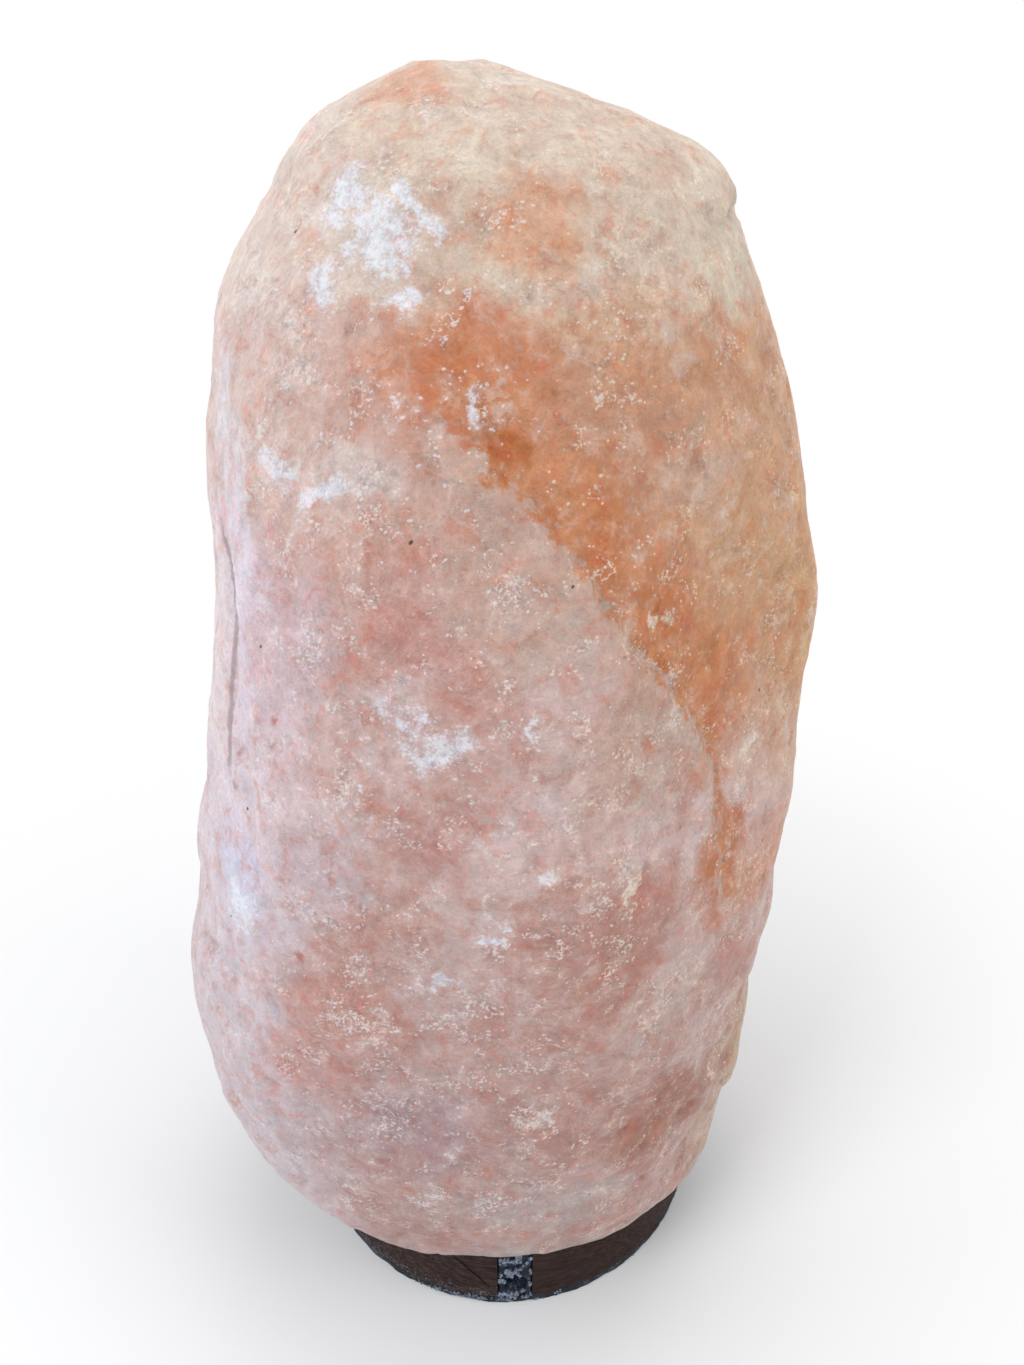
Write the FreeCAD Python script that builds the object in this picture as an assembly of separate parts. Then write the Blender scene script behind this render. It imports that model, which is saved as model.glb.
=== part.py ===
import FreeCAD, Part
import math
import os

# Salt crystal lamp: one hewn block of rock salt on a turned wooden base,
# lit from inside by a small bulb on a lampholder that pulls out downwards.
# Millimetres. +Z is up, z = 0 is the surface the lamp stands on, the origin is
# the centre of the base's underside, and the cord slot faces -Y.

Vector = FreeCAD.Vector
os.makedirs("parts", exist_ok=True)

# ---------------------------------------------------------------- base
BASE_RADIUS = 58.0
BASE_TOP = 26.0
PAD_THICKNESS = 2.5
PAD_WIDTH = 9.5
BORE_RADIUS = 22.0
RECESS_RADIUS = 31.0
RECESS_TOP = 14.5
RIM_ROUNDING = 3.0

# cord way: channel under the base, full-height slot at the rim
SLOT_WIDTH = 9.7
SLOT_INNER = 44.0
POCKET_WIDTH = 14.5
POCKET_INNER = 41.0
POCKET_TOP = 17.0
CHANNEL_TOP = 13.5
CORD_BORE_RADIUS = 3.4
CORD_HEIGHT = 8.5

# screws from the base up into the salt
SCREW_CIRCLE = 41.0
SCREW_BEARINGS = (90.0, 210.0, 330.0)
COUNTERBORE_RADIUS = 5.5
COUNTERBORE_TOP = 12.0
SHANK_RADIUS = 2.0
SHANK_TOP = 49.0
PLUG_RADIUS = 3.5
PLUG_TOP = 52.0

# ---------------------------------------------------------------- rock
CAVITY_RADIUS = 24.0
CAVITY_TOP = 142.0
CHIPS_ROUND = 32
CHIP_ROWS = 22
CHIP_DRIFT = 0.2
CROWDING = -0.05
EDGE_SHARPNESS = 26.0
SECTION_POWER = 2.15

# height, then reach to the left (-X), right, front (-Y) and back
ROCK_STATIONS = (
    (26.0, 58.0, 58.0, 60.0, 56.0),
    (34.0, 71.0, 63.0, 66.0, 64.0),
    (50.0, 80.5, 66.0, 71.0, 70.0),
    (75.0, 86.5, 68.0, 75.0, 73.0),
    (100.0, 86.0, 69.0, 76.0, 74.0),
    (130.0, 79.5, 71.5, 76.0, 73.0),
    (160.0, 73.5, 72.0, 74.0, 71.0),
    (190.0, 68.0, 74.0, 70.0, 68.0),
    (218.0, 64.5, 69.8, 64.0, 63.0),
    (240.0, 63.0, 63.2, 57.0, 58.0),
    (260.0, 59.4, 55.6, 49.0, 50.0),
    (276.0, 51.2, 48.8, 41.0, 42.0),
    (289.0, 42.2, 41.8, 32.0, 33.0),
    (298.0, 33.0, 22.0, 21.0, 23.0),
    (305.5, 17.0, -3.0, 6.0, 8.0),
)

# broad faces struck off the block: bearing of the outward normal from +X,
# its tilt above the horizon, and the face's distance from the rock's heart
ROCK_HEART = (-3.0, 0.0, 150.0)
HEWN_FACES = (
    (-103.0, 1.0, 71.0),
    (-50.0, 9.0, 72.0),
    (-8.0, 4.0, 80.0),
    (-158.0, 6.0, 79.0),
    (-92.0, 34.0, 117.0),
    (-180.0, 24.0, 106.0),
    (140.0, 5.0, 73.0),
    (95.0, 4.0, 69.0),
    (45.0, 3.0, 73.0),
    (75.0, 35.0, 119.0),
    (-10.0, 48.0, 139.0),
)

# slow swells over the whole block: their height, the turn of the wave per
# millimetre along X, Y and Z, and where it starts
SWELLS = (
    (0.40, 0.115, 0.060, 0.125, 0.4),
    (0.35, -0.075, 0.120, 0.095, 2.1),
    (0.30, 0.090, -0.105, 0.170, 4.0),
)

# the long flake struck off the front: its edge as (x, height), down to the right
FLAKE_EDGE = (
    (-24.0, 262.0),
    (-12.9, 251.5),
    (-2.9, 244.0),
    (7.2, 232.0),
    (14.6, 221.5),
    (22.6, 208.5),
    (31.0, 198.0),
    (38.0, 188.0),
    (43.0, 171.0),
    (44.0, 158.0),
)
FLAKE_RIGHT = 66.0
FLAKE_DEPTH = 2.4
FLAKE_REACH = 46.0
FLAKE_SKIN = 0.2

# grooves: bearing, height and depth of the floor at each station. The first lip
# and the second lip lie this far off it, in degrees of bearing and millimetres up
CREASE = (
    (-157.0, 228.0, 0.3),
    (-154.0, 222.0, 1.6),
    (-150.5, 216.0, 2.4),
    (-149.0, 204.0, 2.7),
    (-149.0, 191.0, 2.7),
    (-148.0, 180.0, 2.2),
    (-148.5, 171.0, 1.2),
    (-148.5, 165.0, 0.3),
)
CREASE_LIPS = ((0.4, 0.0), (-9.0, 0.0))
NOTCH = (
    (-160.0, 114.0, 2.0),
    (-155.0, 117.0, 3.0),
    (-150.0, 120.0, 2.8),
    (-144.0, 121.0, 1.9),
    (-139.5, 118.0, 0.5),
)
NOTCH_LIPS = ((0.0, 6.0), (0.0, -6.0))
TOP_STEP = (
    (-4.0, 281.0, 0.4),
    (-11.5, 280.5, 1.8),
    (-20.0, 280.0, 1.7),
    (-28.0, 279.0, 1.2),
    (-35.0, 278.0, 0.4),
)
TOP_STEP_LIPS = ((0.0, 3.0), (0.0, -4.0))
LIP_RISE = 2.0

# ---------------------------------------------------------------- lampholder
PIN_SIDES = 8
PLATE_RADIUS = 28.6
PLATE_THICKNESS = 1.0
PLATE_TOP = 14.2
NIPPLE_RADIUS = 4.9
NIPPLE_BORE = 3.7
NIPPLE_BOTTOM = 8.9
NIPPLE_TOP = 19.0
NUT_ACROSS_FLATS = 14.0
NUT_THICKNESS = 3.0
BUSH_RADIUS = 5.9
BUSH_BORE = 3.3
HOLDER_RADIUS = 12.5
HOLDER_WALL = 1.6
CAP_TOP = 24.4
HOLDER_TOP = 46.0
MOUTH_RADIUS = 7.2
INSERT_BOTTOM = 25.6
INSERT_TOP = 29.6
SHELL_BORE = 6.05
SHELL_WALL = 0.35
SHELL_TOP = 43.6
CONTACT_RIVET = -2.6
SHELL_RIVET = 8.2

# sprung clips
CLIP_BEARINGS = (90.0, 210.0, 330.0)
CLIP_WIDTH = 7.0
CLIP_THICKNESS = 0.5
CLIP_FOOT_INNER = 13.6
CLIP_HINGE_RADIUS = 18.75
CLIP_HINGE_HEIGHT = 16.0

# ---------------------------------------------------------------- bulb
BULB_SIDES = 24
PIP_BOTTOM = 31.9
CAP_BOTTOM = 35.2
BULB_CAP_RADIUS = 5.65
BULB_CAP_TOP = 47.4
GLASS_RADIUS = 11.1
GLASS_TOP = 86.0
GLASS_WALL = 0.8


def polar(radius, degrees, height=0.0):
    angle = math.radians(degrees)
    return Vector(radius * math.cos(angle), radius * math.sin(angle), height)


def tube(outer, inner, bottom, top):
    solid = Part.makeCylinder(outer, top - bottom, Vector(0, 0, bottom))
    if inner <= 0:
        return solid
    return solid.cut(Part.makeCylinder(inner, top - bottom + 2, Vector(0, 0, bottom - 1)))


def turned(profile):
    """Solid of revolution about Z from a closed list of (radius, height)."""
    points = [Vector(r, 0, z) for r, z in profile]
    points.append(points[0])
    face = Part.Face(Part.makePolygon(points))
    return face.revolve(Vector(0, 0, 0), Vector(0, 0, 1), 360)


def prism(radius, sides, bottom, top):
    """Upright many-sided bar, which stands for small round stock."""
    corners = [polar(radius, 360.0 * index / sides, bottom) for index in range(sides + 1)]
    return Part.Face(Part.makePolygon(corners)).extrude(Vector(0, 0, top - bottom))


def rod(start, end, radius, sides):
    """Many-sided rod from one point to another."""
    shape = prism(radius, sides, 0.0, start.distanceToPoint(end))
    shape.Placement = FreeCAD.Placement(start, FreeCAD.Rotation(Vector(0, 0, 1), end - start))
    return shape


def facet(corners):
    """Flat face on the corners, or None where they leave no area."""
    clean = []
    for corner in corners:
        if not clean or corner.distanceToPoint(clean[-1]) > 1e-6:
            clean.append(corner)
    if clean[0].distanceToPoint(clean[-1]) < 1e-6:
        clean.pop()
    if len(clean) < 3:
        return None
    return Part.Face(Part.makePolygon(clean + clean[:1]))


def faceted(profile, sides):
    """Like turned(), but with flat facets round the axis."""
    step = 360.0 / sides
    faces = []
    for low, high in zip(profile, profile[1:] + profile[:1]):
        for index in range(sides):
            near = step * index
            far = step * (index + 1)
            face = facet([
                polar(low[0], near, low[1]),
                polar(low[0], far, low[1]),
                polar(high[0], far, high[1]),
                polar(high[0], near, high[1]),
            ])
            if face:
                faces.append(face)
    solid = Part.Solid(Part.makeShell(faces))
    if solid.Volume < 0:
        solid.reverse()
    return solid.removeSplitter()


def block(width, near, far, bottom, top):
    """Box centred on X, from y = -far to y = -near."""
    return Part.makeBox(width, far - near, top - bottom, Vector(-width / 2.0, -far, bottom))


def turn_to(shape, degrees):
    copy = shape.copy()
    copy.rotate(Vector(0, 0, 0), Vector(0, 0, 1), degrees)
    return copy


def save(name, shape):
    shape.exportStep("parts/" + name + ".step")


# ================================================================ salt crystal
def station_reach(height):
    """Left, right, front and back reach at a height, smoothly between stations."""
    rows = ROCK_STATIONS
    index = 0
    while index < len(rows) - 2 and height > rows[index + 1][0]:
        index += 1
    low, high = rows[index], rows[index + 1]
    below = rows[max(index - 1, 0)]
    above = rows[min(index + 2, len(rows) - 1)]
    span = high[0] - low[0]
    t = (height - low[0]) / span
    reach = []
    for column in range(1, 5):
        slope_low = (high[column] - below[column]) / (high[0] - below[0])
        slope_high = (above[column] - low[column]) / (above[0] - low[0])
        value = (2 * t ** 3 - 3 * t ** 2 + 1) * low[column]
        value += (t ** 3 - 2 * t ** 2 + t) * span * slope_low
        value += (3 * t ** 2 - 2 * t ** 3) * high[column]
        value += (t ** 3 - t ** 2) * span * slope_high
        reach.append(value)
    return reach


def swell(x, y, height):
    """How far the block stands out or in at a point."""
    rise = 0.0
    for size, along_x, along_y, along_z, start in SWELLS:
        rise += size * math.sin(along_x * x + along_y * y + along_z * height + start)
    foot = min(1.0, (height - BASE_TOP) / 14.0)
    crown = min(1.0, (ROCK_STATIONS[-1][0] - height) / 16.0)
    return rise * foot * crown


def flake_depth(x, height):
    """Depth of the struck flake, deepest at its edge and at half its height."""
    gap = FLAKE_REACH
    for start, end in zip(FLAKE_EDGE, FLAKE_EDGE[1:]):
        run_x = end[0] - start[0]
        run_z = end[1] - start[1]
        share = ((x - start[0]) * run_x + (height - start[1]) * run_z) / (run_x ** 2 + run_z ** 2)
        share = min(1.0, max(0.0, share))
        gap = min(gap, math.hypot(x - start[0] - share * run_x, height - start[1] - share * run_z))
    top = min(1.0, max(0.0, (FLAKE_EDGE[0][1] - height) / 16.0))
    foot = min(1.0, max(0.0, (height - FLAKE_EDGE[-1][1]) / 14.0))
    return FLAKE_SKIN + FLAKE_DEPTH * (1.0 - gap / FLAKE_REACH) * top * foot


def rock_point(angle, height, flaked=False, rise=0.0):
    """A point of the rock: the full outline, softly cut by every hewn face."""
    left, right, front, back = station_reach(height)
    centre_x = (right - left) / 2.0
    centre_y = (back - front) / 2.0
    ux = math.cos(angle)
    uy = math.sin(angle)
    across = abs(2 * ux / (left + right)) ** SECTION_POWER
    along = abs(2 * uy / (front + back)) ** SECTION_POWER
    total = (across + along) ** (EDGE_SHARPNESS / SECTION_POWER)
    for bearing, tilt, distance in HEWN_FACES:
        level = math.cos(math.radians(tilt))
        nx = level * math.cos(math.radians(bearing))
        ny = level * math.sin(math.radians(bearing))
        nz = math.sin(math.radians(tilt))
        facing = nx * ux + ny * uy
        room = distance - nx * (centre_x - ROCK_HEART[0])
        room -= ny * (centre_y - ROCK_HEART[1])
        room -= nz * (height - ROCK_HEART[2])
        if facing > 0.05 and room > 1.0:
            total += (facing / room) ** EDGE_SHARPNESS
    radius = total ** (-1.0 / EDGE_SHARPNESS)
    x = centre_x + radius * ux
    y = centre_y + radius * uy
    out = swell(x, y, height) + rise
    if flaked:
        out -= flake_depth(x, height)
    return Vector(x + out * ux, y + out * uy, height)


def rock_row(number, height, flaked):
    """One ring of chip corners; every other ring is set half a chip round."""
    step = 2 * math.pi / CHIPS_ROUND
    row = []
    for index in range(CHIPS_ROUND):
        drift = CHIP_DRIFT * math.sin(2.3 * index + 1.9 * number)
        row.append(rock_point((index + drift + 0.5 * (number % 2)) * step, height, flaked))
    return row


def chip(first, second, third):
    return Part.Face(Part.makePolygon([first, second, third, first]))


def closed_solid(faces):
    solid = Part.Solid(Part.makeShell(faces))
    if solid.Volume < 0:
        solid.reverse()
    return solid


def rock_block(flaked):
    """The rock's skin: flat chips between the rings, closed below and above."""
    rows = []
    for number in range(CHIP_ROWS + 1):
        share = number / float(CHIP_ROWS)
        share += CROWDING * math.sin(2 * math.pi * share)
        height = BASE_TOP + (ROCK_STATIONS[-1][0] - BASE_TOP) * share
        rows.append(rock_row(number, height, flaked))
    chips = []
    for number in range(CHIP_ROWS):
        low = rows[number]
        high = rows[number + 1]
        shift = number % 2
        for index in range(CHIPS_ROUND):
            after = (index + 1) % CHIPS_ROUND
            if shift:
                chips.append(chip(low[index], high[after], high[index]))
                chips.append(chip(low[index], low[after], high[after]))
            else:
                chips.append(chip(low[index], low[after], high[index]))
                chips.append(chip(low[after], high[after], high[index]))
    chips.append(Part.Face(Part.makePolygon(rows[0] + rows[0][:1])))
    chips.append(Part.Face(Part.makePolygon(rows[-1] + rows[-1][:1])))
    return closed_solid(chips)


def groove(stations, lips):
    """Three-cornered bar along a groove's floor, its two lips clear of the rock."""
    corners = []
    for bearing, height, depth in stations:
        corners.append([
            rock_point(math.radians(bearing + lips[0][0]), height + lips[0][1], rise=LIP_RISE),
            rock_point(math.radians(bearing), height, rise=-depth),
            rock_point(math.radians(bearing + lips[1][0]), height + lips[1][1], rise=LIP_RISE),
        ])
    faces = [chip(*corners[0]), chip(*corners[-1])]
    for near, far in zip(corners, corners[1:]):
        for first, second in ((0, 1), (1, 2), (2, 0)):
            faces.append(chip(near[first], near[second], far[second]))
            faces.append(chip(near[first], far[second], far[first]))
    return closed_solid(faces)


# the block, with the flake's floor sunk behind its edge
outline = list(FLAKE_EDGE)
outline.append((FLAKE_RIGHT, FLAKE_EDGE[-1][1]))
outline.append((FLAKE_RIGHT, FLAKE_EDGE[0][1]))
outline.append(FLAKE_EDGE[0])
flake = Part.Face(Part.makePolygon([Vector(x, -22, z) for x, z in outline]))
flake = flake.extrude(Vector(0, -70, 0)).cut(rock_block(True))
rock = rock_block(False).cut(flake)
for stations, lips in ((CREASE, CREASE_LIPS), (NOTCH, NOTCH_LIPS), (TOP_STEP, TOP_STEP_LIPS)):
    rock = rock.cut(groove(stations, lips))

# hollow for the bulb, core-drilled from below with a flat end
rock = rock.cut(tube(CAVITY_RADIUS, 0, BASE_TOP - 1, CAVITY_TOP))

# holes for the wall plugs, drilled a little deeper than the plugs
for bearing in SCREW_BEARINGS:
    hole = Part.makeCylinder(PLUG_RADIUS + 0.1, PLUG_TOP - BASE_TOP + 2, Vector(0, 0, BASE_TOP - 1))
    hole.translate(polar(SCREW_CIRCLE, bearing))
    rock = rock.cut(hole)
save("salt_crystal", rock)

# ================================================================ wooden base
base = turned([
    (BORE_RADIUS, RECESS_TOP),
    (RECESS_RADIUS, RECESS_TOP),
    (RECESS_RADIUS, PAD_THICKNESS),
    (BASE_RADIUS, PAD_THICKNESS),
    (BASE_RADIUS, BASE_TOP - RIM_ROUNDING),
    (BASE_RADIUS - 0.5 * RIM_ROUNDING, BASE_TOP),
    (BORE_RADIUS, BASE_TOP),
])

# cord channel, pocket for the grommet's flange and the slot through the rim
base = base.cut(block(SLOT_WIDTH, 20.0, POCKET_INNER + 1, 0.0, CHANNEL_TOP))
base = base.cut(block(POCKET_WIDTH, POCKET_INNER, SLOT_INNER, 0.0, POCKET_TOP))
base = base.cut(block(SLOT_WIDTH, SLOT_INNER - 1, BASE_RADIUS + 5, 0.0, BASE_TOP + 5))

# counterbored screw holes
for bearing in SCREW_BEARINGS:
    hole = prism(SHANK_RADIUS + 0.3, 12, -5.0, BASE_TOP + 5)
    hole = hole.fuse(Part.makeCylinder(COUNTERBORE_RADIUS, COUNTERBORE_TOP, Vector(0, 0, 0)))
    hole.translate(polar(SCREW_CIRCLE, bearing))
    base = base.cut(hole)
save("wood_base", base)

# ================================================================ foot pad
pad_outer = BASE_RADIUS - 0.4
pad_inner = pad_outer - PAD_WIDTH
pad = tube(pad_outer, pad_inner, 0.0, PAD_THICKNESS)
save("foot_pad", pad)

# ================================================================ cord grommet
stem = block(SLOT_WIDTH, SLOT_INNER, BASE_RADIUS + 1, PAD_THICKNESS, BASE_TOP)
stem = stem.common(tube(BASE_RADIUS - 0.3, SLOT_INNER - 4, 0, BASE_TOP + 1))
flange = block(POCKET_WIDTH, POCKET_INNER, SLOT_INNER, PAD_THICKNESS, POCKET_TOP)
grommet = stem.fuse(flange)
cord_bore = Part.makeCylinder(CORD_BORE_RADIUS, 40, Vector(0, -80, CORD_HEIGHT), Vector(0, 1, 0))
grommet = grommet.cut(cord_bore)
save("cord_grommet", grommet.removeSplitter())

# ================================================================ base screws
# flange-headed wood screws in the counterbores, each in an eight-sided plug
flange_bottom = COUNTERBORE_TOP - 1.0
head_bottom = flange_bottom - 1.9
screws = []
plugs = []
for bearing in SCREW_BEARINGS:
    place = polar(SCREW_CIRCLE, bearing)
    screw = faceted([
        (0, head_bottom),
        (3.4, head_bottom),
        (3.4, flange_bottom),
        (4.8, flange_bottom),
        (4.8, COUNTERBORE_TOP),
        (SHANK_RADIUS, COUNTERBORE_TOP),
        (SHANK_RADIUS, SHANK_TOP),
        (0, SHANK_TOP),
    ], 12)
    recess = Part.makeBox(4.4, 0.9, 1.4, Vector(-2.2, -0.45, head_bottom))
    screw = screw.cut(recess).cut(turn_to(recess, 90))
    screw.translate(place)
    screws.append(screw)
    plug = prism(PLUG_RADIUS, 8, BASE_TOP, PLUG_TOP)
    plug = plug.cut(prism(SHANK_RADIUS, 12, BASE_TOP - 1, SHANK_TOP))
    plug.translate(place)
    plugs.append(plug)
save("base_screws", Part.makeCompound(screws))
save("wall_plugs", Part.makeCompound(plugs))

# ================================================================ mounting plate
plate_bottom = PLATE_TOP - PLATE_THICKNESS
plate = prism(PLATE_RADIUS, 48, plate_bottom, PLATE_TOP)
plate = plate.cut(Part.makeCylinder(NIPPLE_RADIUS, 20, Vector(0, 0, 0)))
rivet_circle = 16.0
for bearing in CLIP_BEARINGS:
    hole = prism(1.2, PIN_SIDES, plate_bottom - 3, PLATE_TOP + 3)
    hole.translate(Vector(rivet_circle, 0, 0))
    plate = plate.cut(turn_to(hole, bearing))
save("mount_plate", plate)

# ================================================================ cord entry
nipple = tube(NIPPLE_RADIUS, NIPPLE_BORE, NIPPLE_BOTTOM, NIPPLE_TOP)
save("threaded_nipple", nipple)

corner = NUT_ACROSS_FLATS / math.sqrt(3)
nut = prism(corner, 6, plate_bottom - NUT_THICKNESS, plate_bottom)
nut = nut.cut(Part.makeCylinder(NIPPLE_RADIUS, 20, Vector(0, 0, 0)))
save("lock_nut", nut)

bush = faceted([
    (BUSH_BORE, NIPPLE_BOTTOM - 1.6),
    (BUSH_RADIUS, NIPPLE_BOTTOM - 1.6),
    (BUSH_RADIUS, NIPPLE_BOTTOM),
    (NIPPLE_BORE, NIPPLE_BOTTOM),
    (NIPPLE_BORE, NIPPLE_BOTTOM + 3.0),
    (BUSH_BORE, NIPPLE_BOTTOM + 3.0),
], 20)
save("entry_bush", bush)

# ================================================================ lampholder cap
cap_inner = HOLDER_RADIUS - HOLDER_WALL
holder_cap = turned([
    (NIPPLE_RADIUS, PLATE_TOP),
    (HOLDER_RADIUS, PLATE_TOP),
    (HOLDER_RADIUS, CAP_TOP),
    (cap_inner, CAP_TOP),
    (cap_inner, PLATE_TOP + 2.4),
    (NIPPLE_RADIUS, PLATE_TOP + 2.4),
])
save("holder_cap", holder_cap)

# ================================================================ lampholder body
body = turned([
    (cap_inner, CAP_TOP),
    (HOLDER_RADIUS, CAP_TOP),
    (HOLDER_RADIUS, HOLDER_TOP),
    (MOUTH_RADIUS, HOLDER_TOP),
    (MOUTH_RADIUS, HOLDER_TOP - 1.8),
    (cap_inner, HOLDER_TOP - 1.8),
])
save("holder_body", body)

# ================================================================ insulating insert
insert = prism(cap_inner, 32, INSERT_BOTTOM, INSERT_TOP)
for x in (CONTACT_RIVET, SHELL_RIVET):
    hole = prism(0.9, PIN_SIDES, INSERT_BOTTOM - 4, INSERT_TOP + 4)
    hole.translate(Vector(x, 0, 0))
    insert = insert.cut(hole)
save("socket_insert", insert)

# ================================================================ screw shell
shell_outer = SHELL_BORE + SHELL_WALL
shell = turned([
    (4.2, INSERT_TOP),
    (shell_outer, INSERT_TOP),
    (shell_outer, SHELL_TOP),
    (SHELL_BORE, SHELL_TOP),
    (SHELL_BORE, INSERT_TOP + SHELL_WALL),
    (4.2, INSERT_TOP + SHELL_WALL),
])
tab = Part.makeBox(4.4, 4.0, SHELL_WALL, Vector(shell_outer - 0.9, -2.0, INSERT_TOP))
tab = tab.cut(Part.makeCylinder(SHELL_BORE, 4, Vector(0, 0, INSERT_TOP - 2)))
hole = prism(0.9, PIN_SIDES, INSERT_TOP - 3, INSERT_TOP + 3)
hole.translate(Vector(SHELL_RIVET, 0, 0))
shell = shell.fuse(tab).cut(hole).removeSplitter()
save("screw_shell", shell)

# ================================================================ centre contact
seat = INSERT_TOP
tongue_line = [
    (-3.8, seat),
    (-1.0, seat),
    (0.1, seat + 1.4),
    (1.4, seat + 1.45),
    (2.5, seat + 0.8),
    (2.5, seat + 1.25),
    (1.5, seat + 1.8),
    (-0.1, seat + 1.75),
    (-1.2, seat + 0.35),
    (-3.8, seat + 0.35),
]
tongue = Part.Face(Part.makePolygon([Vector(x, -1.5, z) for x, z in tongue_line + tongue_line[:1]]))
tongue = tongue.extrude(Vector(0, 3.0, 0))
hole = prism(0.9, PIN_SIDES, seat - 2, seat + 4)
hole.translate(Vector(CONTACT_RIVET, 0, 0))
tongue = tongue.cut(hole)
save("centre_contact", tongue)

# rivets through the insert: one holds the tongue, one the shell's flange
block_top = INSERT_BOTTOM
rivets = []
for x, top in ((CONTACT_RIVET, seat + 0.35), (SHELL_RIVET, INSERT_TOP + SHELL_WALL)):
    rivet = prism(0.9, PIN_SIDES, block_top, top).fuse(prism(1.35, PIN_SIDES, top, top + 0.35))
    rivet.translate(Vector(x, 0, 0))
    rivets.append(rivet)
save("contact_rivets", Part.makeCompound(rivets))

# ================================================================ terminals
blocks = []
terminal_screws = []
for side in (-1, 1):
    inner = 2.0
    outer = 9.2
    terminal = Part.makeBox(outer - inner, 5.0, 4.6, Vector(inner, -2.5, block_top - 4.6))
    wire_hole = rod(Vector(4.2, 0, block_top - 5.0), Vector(4.2, 0, block_top), 1.1, PIN_SIDES)
    axis_height = block_top - 2.4
    thread_start = Vector(5.2, 0, axis_height)
    head_start = Vector(outer, 0, axis_height)
    terminal = terminal.cut(wire_hole)
    terminal = terminal.cut(rod(thread_start, head_start + Vector(1, 0, 0), 1.2, PIN_SIDES))
    shank = rod(thread_start + Vector(0.6, 0, 0), head_start, 1.2, PIN_SIDES)
    head = rod(head_start, head_start + Vector(1.2, 0, 0), 2.0, PIN_SIDES)
    slot = Part.makeBox(0.8, 5.0, 0.6, Vector(outer + 0.6, -2.5, block_top - 2.7))
    screw = shank.fuse(head).cut(slot)
    if side < 0:
        terminal = turn_to(terminal, 180)
        screw = turn_to(screw, 180)
    blocks.append(terminal)
    terminal_screws.append(screw)
save("terminal_blocks", Part.makeCompound(blocks))
save("terminal_screws", Part.makeCompound(terminal_screws))

# ================================================================ clip feet and rivets
foot_top = PLATE_TOP + CLIP_THICKNESS
foot_outer = CLIP_HINGE_RADIUS + CLIP_THICKNESS / 2.0
foot_line = [
    (CLIP_FOOT_INNER, PLATE_TOP),
    (foot_outer - 0.6, PLATE_TOP),
    (foot_outer - 0.15, PLATE_TOP + 0.2),
    (foot_outer, PLATE_TOP + 0.7),
    (foot_outer, CLIP_HINGE_HEIGHT - 0.6),
    (foot_outer - CLIP_THICKNESS, CLIP_HINGE_HEIGHT - 0.6),
    (foot_outer - CLIP_THICKNESS, foot_top + 0.2),
    (foot_outer - CLIP_THICKNESS - 0.2, foot_top),
    (CLIP_FOOT_INNER, foot_top),
]
foot_face = Part.Face(Part.makePolygon([Vector(r, 0, z) for r, z in foot_line + foot_line[:1]]))
foot = foot_face.extrude(Vector(0, CLIP_WIDTH, 0))
foot.translate(Vector(0, -CLIP_WIDTH / 2.0, 0))
hole = prism(1.2, PIN_SIDES, PLATE_TOP - 3, PLATE_TOP + 3)
hole.translate(Vector(rivet_circle, 0, 0))
foot = foot.cut(hole)
feet = [turn_to(foot, bearing) for bearing in CLIP_BEARINGS]
save("clip_feet", Part.makeCompound(feet))

rivet = prism(1.2, PIN_SIDES, plate_bottom, foot_top)
rivet = rivet.fuse(prism(2.0, PIN_SIDES, foot_top, foot_top + 0.6))
rivet.translate(Vector(rivet_circle, 0, 0))
clip_rivets = [turn_to(rivet, bearing) for bearing in CLIP_BEARINGS]
save("clip_rivets", Part.makeCompound(clip_rivets))

# ================================================================ sprung clip legs
# a leg's strip: straight out from the hinge, round the knee, straight in to the tip
knee_start = Vector(20.75, 0, 21.8)
knee_mid = Vector(21.2, 0, 23.6)
knee_end = Vector(20.8, 0, 25.4)
hinge_end = Vector(CLIP_HINGE_RADIUS + 0.25, 0, CLIP_HINGE_HEIGHT)
tip_end = Vector(16.6, 0, 35.4)
strip = CLIP_THICKNESS
leg_edges = [
    Part.makeLine(hinge_end, knee_start),
    Part.Arc(knee_start, knee_mid, knee_end).toShape(),
    Part.makeLine(knee_end, tip_end),
    Part.makeLine(tip_end, tip_end - Vector(strip, 0, 0.2)),
    Part.makeLine(tip_end - Vector(strip, 0, 0.2), knee_end - Vector(strip, 0, 0)),
    Part.Arc(
        knee_end - Vector(strip, 0, 0),
        knee_mid - Vector(strip, 0, 0),
        knee_start - Vector(strip, 0, 0),
    ).toShape(),
    Part.makeLine(knee_start - Vector(strip, 0, 0), hinge_end - Vector(strip, 0, 0)),
    Part.makeLine(hinge_end - Vector(strip, 0, 0), hinge_end),
]
leg_face = Part.Face(Part.Wire(leg_edges))
leg = leg_face.extrude(Vector(0, CLIP_WIDTH, 0))
leg.translate(Vector(0, -CLIP_WIDTH / 2.0, 0))
tip_roll = Part.makeCylinder(0.7, CLIP_WIDTH, Vector(0, 0, 0), Vector(0, 1, 0))
tip_roll.translate(Vector(16.2, -CLIP_WIDTH / 2.0, 35.6))
leg = leg.fuse(tip_roll).removeSplitter()
for number, bearing in enumerate(CLIP_BEARINGS):
    save("spring_clip_" + str(number + 1), turn_to(leg, bearing))

# ================================================================ bulb
pip = faceted([
    (0, PIP_BOTTOM),
    (1.4, PIP_BOTTOM),
    (2.2, PIP_BOTTOM + 0.6),
    (2.2, PIP_BOTTOM + 1.5),
    (0, PIP_BOTTOM + 1.5),
], 16)
save("bulb_contact", pip)

insulator = faceted([
    (0, PIP_BOTTOM + 1.5),
    (2.6, PIP_BOTTOM + 1.5),
    (4.8, CAP_BOTTOM - 0.1),
    (4.8, CAP_BOTTOM + 0.8),
    (0, CAP_BOTTOM + 0.8),
], BULB_SIDES)
save("bulb_insulator", insulator)

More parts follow.
